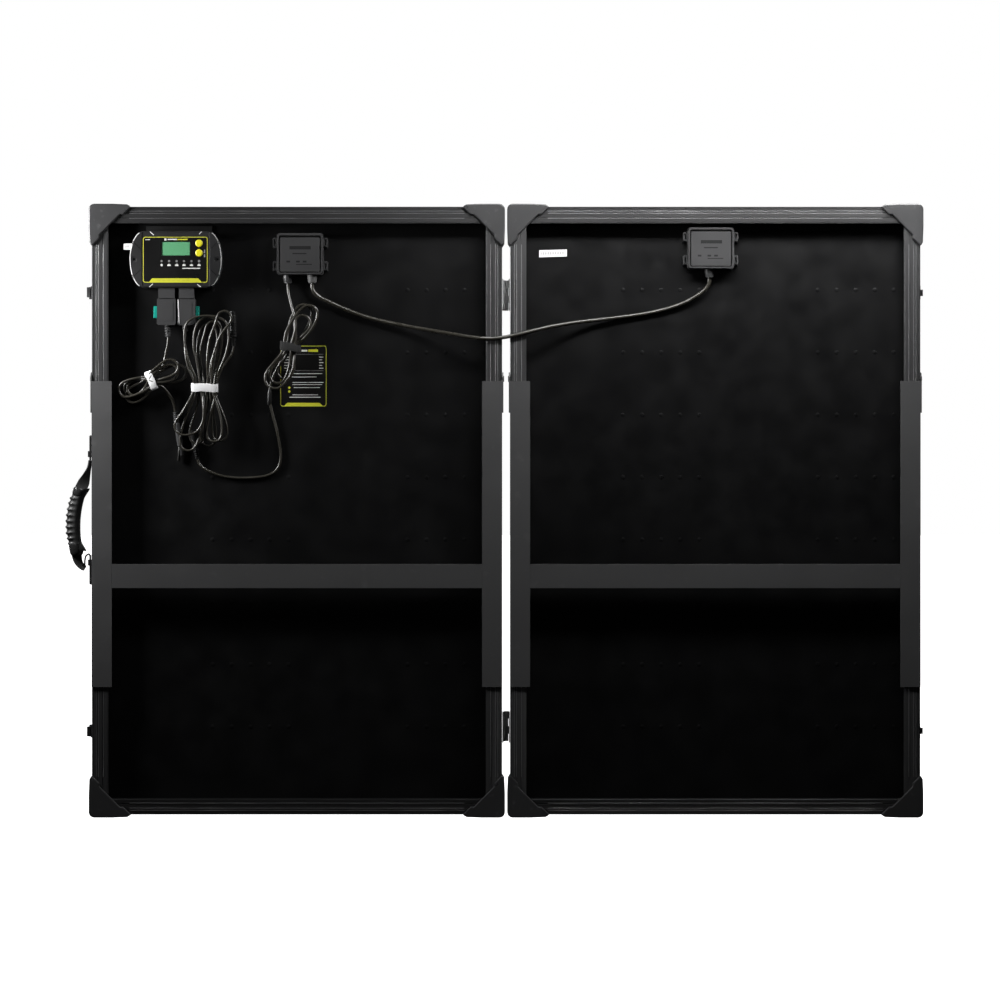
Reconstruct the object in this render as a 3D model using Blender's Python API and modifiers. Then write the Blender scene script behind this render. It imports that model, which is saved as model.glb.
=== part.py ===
"""Folding two-panel solar kit, opened out and standing on its long edge.

Metres, +Z up. The backs of the panels face -Y and the glass faces +Y. Every function below works
in the fold frame: x is measured from the fold line, y from the middle of the frames' depth and z
from the floor. One empty, solar_panel_origin, carries it all to the centre of the base.
"""

import math

import bmesh
import bpy
from mathutils import Matrix, Vector

# Frames
PANEL_WIDTH = 0.675
PANEL_HEIGHT = 1.000
FRAME_DEPTH = 0.035
FRAME_GAP = 0.013
FLANGE_WIDTH = 0.027
WALL = 0.0016
LIP_WIDTH = 0.0085
GROOVE = 0.005
BACK_GROOVES = ((0.0018, 0.0030), (0.0053, 0.0071), (0.0090, 0.0107), (0.0169, 0.0189))
BACK_GROOVE_DEPTH = 0.0008
BACK_EDGE = 0.0250
BACK_EDGE_DROP = 0.0005
BACK_WALL = 0.0022
TOUCH_GAP = 0.0003

# Corner protectors
PROUD = 0.0047
CORNER_LEG = 0.064
CORNER_DIAGONAL = 0.0595
CORNER_STEP = 0.0055
CORNER_FLAP = 0.013
CORNER_ROUND = 0.009
CORNER_FOOT = 0.034

# Kickstands
LEG_WIDTH = 0.033
LEG_BOTTOM = 0.2147
LEG_TOP = 0.7177
LEG_THICKNESS = 0.0025
EAR_THICKNESS = 0.0018
EAR_BOTTOM = 0.666
BEND_STEP = 0.0002
PIVOT_HEIGHT = 0.722
PIVOT_DEPTH = 0.008
PIVOT_RADIUS = 0.003
CROSSBAR_BOTTOM = 0.3775
CROSSBAR_TOP = 0.4167
SHEET_EDGE = 0.0006

# Hinges and latches
FOLD_AHEAD = 0.0005
KNUCKLE_RADIUS = 0.004
KNUCKLE_COUNT = 4
HINGE_LENGTH = 0.050
HINGE_HEIGHTS = {"upper": 0.8612, "lower": 0.1475}
LATCH_HEIGHTS = {"upper": 0.8645, "lower": 0.141}
PLATE_THICKNESS = 0.0018
CATCH_REACH = 0.0068

# Junction boxes
BOX_WIDTH = 0.077
BOX_HEIGHT = 0.069
BOX_CENTRES = {"left": (-0.3398, 0.928), "right": (0.3378, 0.9378)}
OUTLETS = {"left": (-0.360, -0.320), "right": (0.336,)}
OUTLET_RADIUS = 0.0078
OUTLET_LENGTH = 0.013
OUTLET_DEPTH = 0.0025

# Charge controller
CONTROL_X = -0.544
CONTROL_Z = 0.9185
CONTROL_FLAT = 0.0525
CONTROL_END = 0.0235
CONTROL_HALF_HEIGHT = 0.047
CONTROL_BACK = -0.0145
CONTROL_SPLIT = 0.0060
BUTTON_X = -0.5053
BUTTON_HEIGHTS = {"upper": 0.945, "lower": 0.929}
BUTTON_RADIUS = 0.0061
DISPLAY_LOW = (-0.5665, 0.925)
DISPLAY_HIGH = (-0.5205, 0.947)

# Plugs below the controller: middle, width, where the strain relief ends and which side is released
PLUGS = {
    "input": {"x": -0.5595, "width": 0.031, "relief_end": 0.7905, "cord_x": -0.557, "tab": -1},
    "output": {"x": -0.5265, "width": 0.029, "relief_end": 0.8000, "cord_x": -0.529, "tab": 1},
}
PLUG_BOTTOM = 0.8105
PLUG_TOP = 0.8546
PLUG_DEPTH = -0.004
TAB_TRAVEL = 0.0018

# Handle
HANDLE_AXIS_OUT = 0.0049
HANDLE_PIN_RADIUS = 0.0018
UPPER_BRACKET = (0.593, 0.628)
LOWER_BRACKET = (0.383, 0.424)

# Worked-out places in the fold frame
HALF_DEPTH = FRAME_DEPTH / 2
BACK = -HALF_DEPTH
INNER_FACE = FRAME_GAP / 2
OUTER_FACE = INNER_FACE + PANEL_WIDTH
BOTTOM = PROUD
TOP = BOTTOM + PANEL_HEIGHT
LIP_BACK = HALF_DEPTH - 0.0015
SHEET_FRONT = LIP_BACK - TOUCH_GAP
SHEET_BACK = LIP_BACK - GROOVE + TOUCH_GAP
RECESS = SHEET_BACK - TOUCH_GAP
AXIS_Y = HALF_DEPTH + PROUD + FOLD_AHEAD
WEB_FRONT = BACK - TOUCH_GAP
WEB_BACK = WEB_FRONT - LEG_THICKNESS
PIVOT_Y = BACK + PIVOT_DEPTH
HANDLE_AXIS_X = -OUTER_FACE - HANDLE_AXIS_OUT
GRIP_RADIUS = 0.012
GRIP_MIDDLE_X = -0.7152
ORIGIN_X = (GRIP_RADIUS - GRIP_MIDDLE_X - OUTER_FACE - CATCH_REACH) / 2
ORIGIN_Y = -(AXIS_Y + KNUCKLE_RADIUS - HALF_DEPTH - PROUD) / 2


# ---------------------------------------------------------------- scene, materials and objects
def clear_scene():
    for obj in list(bpy.data.objects):
        bpy.data.objects.remove(obj, do_unlink=True)


def new_collection(name):
    collection = bpy.data.collections.new(name)
    bpy.context.scene.collection.children.link(collection)
    return collection


def finish(name, colour, roughness, metallic=0.0):
    material = bpy.data.materials.new(name)
    material.use_nodes = True
    shader = material.node_tree.nodes["Principled BSDF"]
    shader.inputs["Base Color"].default_value = (*colour, 1.0)
    shader.inputs["Roughness"].default_value = roughness
    shader.inputs["Metallic"].default_value = metallic
    return material


clear_scene()
PARTS = new_collection("solar_panel")
CUTTERS = new_collection("cutters")
ANODISED = finish("black_anodised", (0.03, 0.03, 0.032), 0.4, 1.0)
STAND_PAINT = finish("kickstand_paint", (0.09, 0.09, 0.09), 0.5, 0.6)
CORNER_PLASTIC = finish("corner_plastic", (0.05, 0.05, 0.053), 0.6)
LAMINATE = finish("laminate", (0.006, 0.006, 0.008), 0.35)
CASE_PLASTIC = finish("case_plastic", (0.03, 0.03, 0.032), 0.5)
BOARD_GREEN = finish("board_green", (0.1, 0.35, 0.2), 0.4)
BUTTON_YELLOW = finish("button_yellow", (0.8, 0.72, 0.03), 0.4)
TAB_TEAL = finish("tab_teal", (0.01, 0.22, 0.17), 0.4)
HARDWARE = finish("hardware_steel", (0.25, 0.25, 0.26), 0.35, 1.0)
HINGE_BLACK = finish("hinge_black", (0.04, 0.04, 0.04), 0.45, 1.0)
RUBBER = finish("handle_rubber", (0.02, 0.02, 0.02), 0.7)
CORD_BLACK = finish("cord_black", (0.03, 0.028, 0.026), 0.5)


def make_empty(name, place, parent=None):
    """An empty on a joint's axis, at a place in the fold frame."""
    empty = bpy.data.objects.new(name, None)
    empty.empty_display_size = 0.03
    empty.location = place
    PARTS.objects.link(empty)
    if parent:
        attach(empty, parent)
    return empty


def attach(obj, empty):
    """Parents obj to an empty and leaves it where it is in the fold frame."""
    obj.parent = empty
    offset = Vector(empty.get("fold_place", (0, 0, 0)))
    obj.matrix_parent_inverse = Matrix.Translation(-offset)
    if obj.type == "EMPTY":
        obj["fold_place"] = tuple(obj.location)


ROOT = make_empty("solar_panel_origin", (ORIGIN_X, ORIGIN_Y, 0))
FOLD = make_empty("fold_axis", (0, AXIS_Y, 0), ROOT)


def part(name, data, material, body=ROOT):
    """One sub-part, from a mesh or a curve in the fold frame."""
    obj = bpy.data.objects.new(name, data)
    data.materials.append(material)
    PARTS.objects.link(obj)
    attach(obj, body)
    return obj


def combine(obj, meshes, operation):
    for mesh in meshes:
        tool = bpy.data.objects.new(f"{obj.name}_{operation.lower()}", mesh)
        CUTTERS.objects.link(tool)
        attach(tool, obj.parent)
        tool.hide_render = True
        tool.display_type = "WIRE"
        modifier = obj.modifiers.new(operation.title(), "BOOLEAN")
        modifier.operation = operation
        modifier.object = tool


def join(obj, *meshes):
    combine(obj, meshes, "UNION")


def cut(obj, *meshes):
    combine(obj, meshes, "DIFFERENCE")


def soften(obj, width, segments=1):
    modifier = obj.modifiers.new("Bevel", "BEVEL")
    modifier.width = width
    modifier.segments = segments
    modifier.limit_method = "ANGLE"
    modifier.angle_limit = math.radians(50)


# ---------------------------------------------------------------- shapes
def tidied(mesh):
    """Welds a mesh, merges its flat faces and points its faces outwards."""
    work = bmesh.new()
    work.from_mesh(mesh)
    bmesh.ops.remove_doubles(work, verts=work.verts, dist=1e-6)
    bmesh.ops.dissolve_limit(
        work, angle_limit=0.001, use_dissolve_boundaries=False, verts=work.verts, edges=work.edges
    )
    bmesh.ops.recalc_face_normals(work, faces=work.faces)
    work.to_mesh(mesh)
    work.free()
    return mesh


def mesh_of_curve(curve):
    holder = bpy.data.objects.new("curve", curve)
    bpy.context.scene.collection.objects.link(holder)
    evaluated = holder.evaluated_get(bpy.context.evaluated_depsgraph_get())
    mesh = bpy.data.meshes.new_from_object(evaluated)
    bpy.data.objects.remove(holder, do_unlink=True)
    return mesh


def box(low, high):
    mesh = bpy.data.meshes.new("box")
    work = bmesh.new()
    bmesh.ops.create_cube(work, size=1)
    low = Vector(low)
    high = Vector(high)
    for vertex in work.verts:
        vertex.co = [low[i] if vertex.co[i] < 0 else high[i] for i in range(3)]
    bmesh.ops.recalc_face_normals(work, faces=work.faces)
    work.to_mesh(mesh)
    work.free()
    return mesh


def rod(start, end, radius, sides=16, end_radius=None):
    """A cylinder or a cone between two points."""
    start = Vector(start)
    along = Vector(end) - start
    mesh = bpy.data.meshes.new("rod")
    work = bmesh.new()
    bmesh.ops.create_cone(
        work,
        cap_ends=True,
        segments=sides,
        radius1=radius,
        radius2=radius if end_radius is None else end_radius,
        depth=along.length,
    )
    work.to_mesh(mesh)
    work.free()
    turn = along.to_track_quat("Z", "Y").to_matrix().to_4x4()
    mesh.transform(Matrix.Translation(start + along / 2) @ turn)
    return mesh


def prism(outline, axis, low, high):
    """A flat outline given a thickness along an axis: an outline in (x, z) along Y, or in (y, z) along X."""
    curve = bpy.data.curves.new("outline", "CURVE")
    curve.dimensions = "2D"
    curve.fill_mode = "BOTH"
    curve.extrude = abs(high - low) / 2
    spline = curve.splines.new("POLY")
    spline.points.add(len(outline) - 1)
    for point, (across, up) in zip(spline.points, outline, strict=True):
        point.co = (across, up, 0, 1)
    spline.use_cyclic_u = True
    mesh = mesh_of_curve(curve)
    middle = (low + high) / 2
    if axis == "Y":
        frame = Matrix(((1, 0, 0, 0), (0, 0, 1, middle), (0, 1, 0, 0), (0, 0, 0, 1)))
    else:
        frame = Matrix(((0, 0, 1, middle), (1, 0, 0, 0), (0, 1, 0, 0), (0, 0, 0, 1)))
    mesh.transform(frame)
    return tidied(mesh)


def arc(centre, radius, start, end, steps):
    """Points on an arc, from one angle to another in degrees."""
    points = []
    for step in range(steps + 1):
        angle = math.radians(start + (end - start) * step / steps)
        points.append((centre[0] + radius * math.cos(angle), centre[1] + radius * math.sin(angle)))
    return points


def rounded_rectangle(centre, width, height, radius, steps=3):
    points = []
    for turn, (across, up) in enumerate(((1, 1), (-1, 1), (-1, -1), (1, -1))):
        middle = (
            centre[0] + across * (width / 2 - radius),
            centre[1] + up * (height / 2 - radius),
        )
        points += arc(middle, radius, 90 * turn, 90 * turn + 90, steps)
    return points


def turned(name, profile, start, end, material, body=ROOT, steps=14):
    """A turned piece: profile pairs of radius and distance from start, run from the far end back."""
    start = Vector(start)
    along = (Vector(end) - start).normalized()
    mesh = bpy.data.meshes.new(name)
    edges = [(i, i + 1) for i in range(len(profile) - 1)]
    mesh.from_pydata([(radius, 0, height) for radius, height in profile], edges, [])
    obj = part(name, mesh, material, body)
    obj.location = start
    obj.rotation_mode = "QUATERNION"
    obj.rotation_quaternion = along.to_track_quat("Z", "Y")
    screw = obj.modifiers.new("Screw", "SCREW")
    screw.steps = steps
    screw.render_steps = steps
    screw.use_merge_vertices = True
    screw.merge_threshold = 1e-5
    screw.use_smooth_shade = True
    return obj


def smooth_route(points, spacing):
    """Evenly spaced points on a smooth curve through a hand-chosen route."""
    points = [Vector(p) for p in points]
    ends = [2 * points[0] - points[1], *points, 2 * points[-1] - points[-2]]
    fine = []
    for a, b, c, d in zip(ends, ends[1:], ends[2:], ends[3:], strict=False):
        for step in range(12):
            t = step / 12
            fine.append(
                0.5
                * (
                    2 * b
                    + (c - a) * t
                    + (2 * a - 5 * b + 4 * c - d) * t**2
                    + (3 * b - a - 3 * c + d) * t**3
                )
            )
    fine.append(points[-1])
    total = sum((b - a).length for a, b in zip(fine, fine[1:], strict=False))
    count = max(2, round(total / spacing))
    even = [fine[0]]
    walked = 0.0
    for a, b in zip(fine, fine[1:], strict=False):
        piece = (b - a).length
        while len(even) < count and walked + piece >= total * len(even) / count:
            even.append(a.lerp(b, (total * len(even) / count - walked) / piece))
        walked += piece
    even.append(fine[-1])
    return even


def tube_curve(name, points, radius, factors=None, resolution=2):
    curve = bpy.data.curves.new(name, "CURVE")
    curve.dimensions = "3D"
    curve.bevel_depth = radius
    curve.bevel_resolution = resolution
    curve.use_fill_caps = True
    spline = curve.splines.new("POLY")
    spline.points.add(len(points) - 1)
    for i, place in enumerate(points):
        spline.points[i].co = (*place, 1)
        spline.points[i].radius = factors[i] if factors else 1
    return curve


def cord(name, route, diameter, body=ROOT):
    """A tube along a route that is given in millimetres."""
    points = smooth_route([Vector(p) / 1000 for p in route], 2.6 * diameter)
    return part(name, tube_curve(name, points, diameter / 2), CORD_BLACK, body)


def hank(name, outline, back, front):
    """The outer shape of a tied hank, from an outline in millimetres."""
    points = [Vector((x, z, 0)) / 1000 for x, z in outline]
    loop = smooth_route([*points, points[0]], 0.014)[:-1]
    obj = part(name, prism([(p.x, p.y) for p in loop], "Y", back, front), CORD_BLACK)
    soften(obj, 0.003)
    return obj


# ---------------------------------------------------------------- frames
def rail_section():
    """The extrusion's cross-section: inward from its outer face, and depth."""
    slope = 0.0004
    shelf = LIP_BACK - GROOVE
    section = [(0, BACK + 0.001), (0.001, BACK)]
    for start, end in BACK_GROOVES:
        floor = BACK + BACK_GROOVE_DEPTH
        section += [(start, BACK), (start + slope, floor), (end - slope, floor), (end, BACK)]
    section += [(BACK_EDGE, BACK), (BACK_EDGE + slope, BACK + BACK_EDGE_DROP)]
    section += [(FLANGE_WIDTH, BACK + BACK_EDGE_DROP), (FLANGE_WIDTH, BACK + BACK_WALL)]
    section += [(WALL, BACK + BACK_WALL)]
    section += [(WALL, shelf - WALL), (0.012, shelf - WALL), (0.012, shelf), (WALL, shelf)]
    section += [(WALL, LIP_BACK), (LIP_WIDTH, LIP_BACK), (LIP_WIDTH, HALF_DEPTH - 0.0005)]
    section += [(LIP_WIDTH - 0.0005, HALF_DEPTH), (0.0008, HALF_DEPTH), (0, HALF_DEPTH - 0.0008)]
    return section


def rail(name, start, along, inward, length, body):
    """One side of a frame, its ends mitred at 45 degrees."""
    curve = bpy.data.curves.new(name, "CURVE")
    curve.dimensions = "2D"
    curve.fill_mode = "BOTH"
    curve.extrude = length / 2
    spline = curve.splines.new("POLY")
    section = rail_section()
    spline.points.add(len(section) - 1)
    for point, (across, depth) in zip(spline.points, section, strict=True):
        point.co = (across, depth, 0, 1)
    spline.use_cyclic_u = True
    mesh = mesh_of_curve(curve)
    for vertex in mesh.vertices:
        vertex.co.z -= math.copysign(vertex.co.x + TOUCH_GAP / 2, vertex.co.z)
    along = Vector(along)
    middle = Vector(start) + along * length / 2
    columns = Matrix((Vector(inward), Vector((0, 1, 0)), along)).transposed().to_4x4()
    mesh.transform(Matrix.Translation(middle) @ columns)
    return part(name, tidied(mesh), ANODISED, body)


def corner(name, x, z, inward_x, inward_z, body):
    """A plastic protector that wraps one frame corner, front, back and both edges."""
    tip = 0.004
    half = [
        (CORNER_FOOT, -PROUD),
        (CORNER_LEG - 0.0055, 0.001 - PROUD),
        (CORNER_LEG, tip - PROUD),
        (CORNER_LEG, CORNER_DIAGONAL + CORNER_STEP - CORNER_LEG),
        (CORNER_DIAGONAL + CORNER_STEP - CORNER_FLAP, CORNER_FLAP),
        (CORNER_DIAGONAL - CORNER_FLAP, CORNER_FLAP),
    ]
    middle = CORNER_ROUND - PROUD
    outline = arc((middle, middle), CORNER_ROUND, 180, 270, 4)
    outline += half + [(b, a) for a, b in reversed(half)]
    placed = [(x + inward_x * a, z + inward_z * b) for a, b in outline]
    outer = HALF_DEPTH + PROUD
    obj = part(name, prism(placed, "Y", -outer, outer), CORNER_PLASTIC, body)
    soften(obj, 0.0024, 2)
    inner = HALF_DEPTH + TOUCH_GAP
    near = (x - inward_x * TOUCH_GAP, z - inward_z * TOUCH_GAP)
    far = (x + inward_x * 0.1, z + inward_z * 0.1)
    low = (min(near[0], far[0]), -inner, min(near[1], far[1]))
    high = (max(near[0], far[0]), inner, max(near[1], far[1]))
    cut(obj, box(low, high))


def panel(side, name, body):
    """A frame of four rails, its laminate and its four corner protectors. side is -1 or +1."""
    inner = side * INNER_FACE
    outer = side * OUTER_FACE
    left, right = sorted((inner, outer))
    across = (1, 0, 0)
    up = (0, 0, 1)
    rail(f"{name}_rail_bottom", (left, 0, BOTTOM), across, (0, 0, 1), PANEL_WIDTH, body)
    rail(f"{name}_rail_top", (left, 0, TOP), across, (0, 0, -1), PANEL_WIDTH, body)
    for place, x, inward in (("inner", inner, side), ("outer", outer, -side)):
        upright = rail(
            f"{name}_rail_{place}", (x, 0, BOTTOM), up, (inward, 0, 0), PANEL_HEIGHT, body
        )
        hole_start = (x - inward * 0.004, PIVOT_Y, PIVOT_HEIGHT)
        hole_end = (x + inward * 0.004, PIVOT_Y, PIVOT_HEIGHT)
        cut(upright, rod(hole_start, hole_end, PIVOT_RADIUS + TOUCH_GAP))
    edge = WALL + TOUCH_GAP
    sheet = box((left + edge, SHEET_BACK, BOTTOM + edge), (right - edge, SHEET_FRONT, TOP - edge))
    part(f"{name}_laminate", sheet, LAMINATE, body)
    for place, x, inward in (("inner", inner, side), ("outer", outer, -side)):
        corner(f"{name}_corner_{place}_bottom", x, BOTTOM, inward, 1, body)
        corner(f"{name}_corner_{place}_top", x, TOP, inward, -1, body)


# ---------------------------------------------------------------- kickstands
def leg(name, face, inward, body):
    """A flat leg on the frame's back, with an ear that wraps the frame's side and turns on a pin."""
    web_low, web_high = sorted((face, face + inward * LEG_WIDTH))
    web = box((web_low, WEB_BACK, LEG_BOTTOM), (web_high, WEB_FRONT, LEG_TOP))
    obj = part(name, web, STAND_PAINT, body)
    near = face - inward * TOUCH_GAP
    far = near - inward * EAR_THICKNESS
    ear_radius = PIVOT_Y - WEB_BACK
    ear = [(WEB_BACK, EAR_BOTTOM), (WEB_BACK, LEG_TOP)]
    ear += arc((PIVOT_Y, PIVOT_HEIGHT), ear_radius, 165, 0, 8)
    ear += [(PIVOT_Y + ear_radius, PIVOT_HEIGHT - 0.02), (PIVOT_Y - 0.002, EAR_BOTTOM)]
    middle = (near + far) / 2
    bend_low, bend_high = sorted((middle, face + inward * 0.004))
    bend = box(
        (bend_low, WEB_BACK + BEND_STEP, EAR_BOTTOM + BEND_STEP),
        (bend_high, WEB_FRONT - BEND_STEP, LEG_TOP - BEND_STEP),
    )
    head = far - inward * 0.0012
    axis = (PIVOT_Y, PIVOT_HEIGHT)
    pin = rod((middle, *axis), (face + inward * 0.0045, *axis), PIVOT_RADIUS)
    rivet = rod((head, *axis), (middle, *axis), 0.005)
    join(obj, prism(ear, "X", min(near, far), max(near, far)), bend, rivet, pin)
    soften(obj, SHEET_EDGE)


def crossbar(name, left, right, body):
    """A shallow channel between the legs, with a tongue behind each leg."""
    thickness = 0.0018
    deep = WEB_BACK + 0.0108
    web = box((left, WEB_BACK, CROSSBAR_BOTTOM), (right, WEB_BACK + thickness, CROSSBAR_TOP))
    obj = part(name, web, STAND_PAINT, body)
    top = box((left, WEB_BACK, CROSSBAR_TOP - thickness), (right, deep, CROSSBAR_TOP))
    low = box((left, WEB_BACK, CROSSBAR_BOTTOM), (right, deep, CROSSBAR_BOTTOM + thickness))
    join(obj, top, low)
    for end, direction in ((left, 1), (right, -1)):
        start, stop = sorted((end - direction * 0.0045, end + direction * 0.012))
        tongue_front = WEB_FRONT + TOUCH_GAP + 0.0015
        join(
            obj,
            box(
                (start, WEB_FRONT + TOUCH_GAP, CROSSBAR_BOTTOM + 0.001),
                (stop, tongue_front, CROSSBAR_TOP - 0.001),
            ),
        )
    soften(obj, SHEET_EDGE)


def kickstand(side, name, parent):
    middle = side * (INNER_FACE + PANEL_WIDTH / 2)
    pivot = make_empty(f"{name}_axis", (middle, PIVOT_Y, PIVOT_HEIGHT), parent)
    inner = side * INNER_FACE
    outer = side * OUTER_FACE
    leg(f"{name}_leg_inner", inner, side, pivot)
    leg(f"{name}_leg_outer", outer, -side, pivot)
    clear = LEG_WIDTH + TOUCH_GAP
    left, right = sorted((inner + side * clear, outer - side * clear))
    crossbar(f"{name}_crossbar", left, right, pivot)


# ---------------------------------------------------------------- hinges, latches and catches
def hinge(place, middle):
    """Two leaves on the frames' facing edges. The left leaf holds the pin, the right one turns on it."""
    pitch = HINGE_LENGTH / KNUCKLE_COUNT
    top = middle + HINGE_LENGTH / 2
    near = INNER_FACE - TOUCH_GAP
    for side, name, body in ((-1, "left", ROOT), (1, "right", FOLD)):
        low, high = sorted((side * near, side * (near - PLATE_THICKNESS)))
        plate = box(
            (low, -0.012, top - HINGE_LENGTH),
            (high, AXIS_Y - FOLD_AHEAD, top),
        )
        obj = part(f"hinge_leaf_{name}_{place}", plate, HINGE_BLACK, body)
        for number in range(KNUCKLE_COUNT):
            if (number % 2 == 0) != (side > 0):
                continue
            high_z = top - number * pitch - TOUCH_GAP / 2
            low_z = high_z - pitch + TOUCH_GAP
            arm_low, arm_high = sorted((0, side * near))
            arm = box((arm_low, AXIS_Y - 0.0035, low_z), (arm_high, AXIS_Y - FOLD_AHEAD, high_z))
            join(obj, rod((0, AXIS_Y, low_z), (0, AXIS_Y, high_z), KNUCKLE_RADIUS), arm)
        pin_ends = ((0, AXIS_Y, top - HINGE_LENGTH), (0, AXIS_Y, top))
        if side < 0:
            join(obj, rod(*pin_ends, 0.00185))
        else:
            longer = ((0, AXIS_Y, top - HINGE_LENGTH - 0.01), (0, AXIS_Y, top + 0.01))
            cut(obj, rod(*longer, 0.0021))


def latch(place, middle):
    """A draw latch on the left frame's free edge: a base with a pin, and a lever that turns on it."""
    face = -OUTER_FACE - TOUCH_GAP
    pin_x = face - 0.005
    pin_y = 0.010
    half = 0.010
    base = box((face - PLATE_THICKNESS, -0.012, middle - half), (face, 0.014, middle + half))
    obj = part(f"latch_base_{place}", base, HARDWARE)
    for side in (-1, 1):
        low, high = sorted((middle + side * half, middle + side * (half - 0.0015)))
        lug = box((pin_x - 0.0025, pin_y - 0.003, low), (face, pin_y + 0.003, high))
        join(obj, lug)
    join(obj, rod((pin_x, pin_y, middle - half), (pin_x, pin_y, middle + half), 0.0012, 12))
    axis = make_empty(f"latch_axis_{place}", (pin_x, pin_y, middle), ROOT)
    lever_half = half - 0.0018
    plate = box(
        (pin_x - 0.0015, -0.011, middle - lever_half), (pin_x + 0.0013, pin_y, middle + lever_half)
    )
    lever = part(f"latch_lever_{place}", plate, HARDWARE, axis)
    lip = box(
        (pin_x - 0.0037, -0.011, middle - lever_half), (pin_x, -0.0085, middle + lever_half)
    )
    barrel_ends = ((pin_x, pin_y, middle - lever_half), (pin_x, pin_y, middle + lever_half))
    join(lever, rod(*barrel_ends, 0.0026), lip)
    cut(lever, rod((pin_x, pin_y, middle - half), (pin_x, pin_y, middle + half), 0.0015, 12))


def catch(place, middle):
    """The strike on the right frame's free edge that the latch's bail hooks over."""
    face = OUTER_FACE + TOUCH_GAP
    plate = box((face, -0.001, middle - 0.011), (face + 0.0022, 0.014, middle + 0.011))
    obj = part(f"catch_{place}", plate, HARDWARE, FOLD)
    reach = OUTER_FACE + CATCH_REACH
    join(
        obj,
        box((face, 0.004, middle - 0.0052), (reach, 0.0065, middle + 0.0052)),
        box((reach - 0.002, 0.0015, middle - 0.0052), (reach, 0.0065, middle + 0.0052)),
    )


# ---------------------------------------------------------------- handle
def handle_bracket(name, bottom, top, lug_bottom):
    face = -OUTER_FACE - TOUCH_GAP
    plate = box((face - PLATE_THICKNESS, -0.011, bottom), (face, 0.011, top))
    obj = part(name, plate, HARDWARE)
    soften(obj, 0.0008)
    outside = HANDLE_AXIS_X - 0.0034
    join(obj, box((outside, -0.0038, lug_bottom), (face - 0.001, 0.0038, lug_bottom + 0.010)))
    bore = ((HANDLE_AXIS_X, 0, lug_bottom - 0.01), (HANDLE_AXIS_X, 0, lug_bottom + 0.02))
    cut(obj, rod(*bore, HANDLE_PIN_RADIUS + TOUCH_GAP, 12))


def handle():
    """A padded grip on a strap, hung between two pins that stand in the brackets."""
    axis = make_empty("handle_axis", (HANDLE_AXIS_X, 0, 0.5), ROOT)
    upper_lug = UPPER_BRACKET[0]
    lower_lug = LOWER_BRACKET[1] - 0.010
    handle_bracket("handle_bracket_upper", *UPPER_BRACKET, upper_lug)
    handle_bracket("handle_bracket_lower", *LOWER_BRACKET, lower_lug)
    stations = [
        (HANDLE_AXIS_X, 0.589, 0.0024),
        (-0.6885, 0.574, 0.0040),
        (-0.6935, 0.559, 0.0060),
        (-0.6990, 0.545, 0.0100),
        (-0.7084, 0.5223, 0.0115),
        (-0.7135, 0.5026, GRIP_RADIUS),
        (GRIP_MIDDLE_X, 0.4812, GRIP_RADIUS),
        (-0.7137, 0.4598, GRIP_RADIUS),
        (-0.7085, 0.4420, 0.0118),
        (-0.7045, 0.4310, 0.0112),
        (-0.6985, 0.4275, 0.0060),
        (-0.6920, 0.4290, 0.0030),
        (HANDLE_AXIS_X, 0.4305, 0.0024),
    ]
    factors = [radius / GRIP_RADIUS for _, _, radius in stations]
    places = [(x, 0, z) for x, z, _ in stations]
    mesh = tidied(mesh_of_curve(tube_curve("handle", places, GRIP_RADIUS, factors, 3)))
    obj = part("handle", mesh, RUBBER, axis)
    upper_pin = rod((HANDLE_AXIS_X, 0, 0.588), (HANDLE_AXIS_X, 0, 0.6025), HANDLE_PIN_RADIUS, 12)
    lower_pin = rod((HANDLE_AXIS_X, 0, 0.4145), (HANDLE_AXIS_X, 0, 0.431), HANDLE_PIN_RADIUS, 12)
    strap = [(-0.7105, 0.433), (-0.6975, 0.427), (-0.6935, 0.4155), (-0.6970, 0.4045), (-0.7045, 0.413)]
    join(obj, upper_pin, lower_pin, prism(strap, "Y", -0.0045, 0.0045))


# ---------------------------------------------------------------- junction boxes
def junction_box(name, body):
    """A box on the back sheet with its cable outlets moulded on, and its lid."""
    x, z = BOX_CENTRES[name]
    lid_back = -0.0090
    base_back = -0.0055
    outline = rounded_rectangle((x, z), BOX_WIDTH, BOX_HEIGHT, 0.005)
    obj = part(f"junction_box_{name}_base", prism(outline, "Y", base_back, RECESS), CASE_PLASTIC, body)
    ear_half = BOX_WIDTH / 2 + 0.007
    for low, high in ((-0.0272, -0.0124), (0.0110, 0.0257)):
        join(obj, box((x - ear_half, RECESS - 0.005, z + low), (x + ear_half, RECESS, z + high)))
    bottom = z - BOX_HEIGHT / 2
    for outlet in OUTLETS[name]:
        end = (outlet, OUTLET_DEPTH, bottom - OUTLET_LENGTH)
        start = (outlet, OUTLET_DEPTH, bottom + 0.002)
        join(obj, rod(start, end, OUTLET_RADIUS, 16, 0.0066))
    cover = rounded_rectangle((x, z), BOX_WIDTH - 0.003, BOX_HEIGHT - 0.003, 0.004)
    lid = part(
        f"junction_box_{name}_lid", prism(cover, "Y", lid_back, base_back - TOUCH_GAP), CASE_PLASTIC, body
    )
    soften(lid, 0.0012)


# ---------------------------------------------------------------- charge controller
def controller_outline(inset=0.0):
    """Flat top and bottom, and half-ellipse ends."""
    points = []
    for side, start in ((1, -90), (-1, 90)):
        for step in range(11):
            angle = math.radians(start + 18 * step)
            across = side * CONTROL_FLAT + (CONTROL_END - inset) * math.cos(angle)
            points.append(
                (CONTROL_X + across, CONTROL_Z + (CONTROL_HALF_HEIGHT - inset) * math.sin(angle))
            )
    return points


def screw_holes():
    return [
        rod((x, 0.03, CONTROL_Z), (x, -0.03, CONTROL_Z), 0.0023, 12) for x in (-0.6126, -0.4754)
    ]


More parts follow.
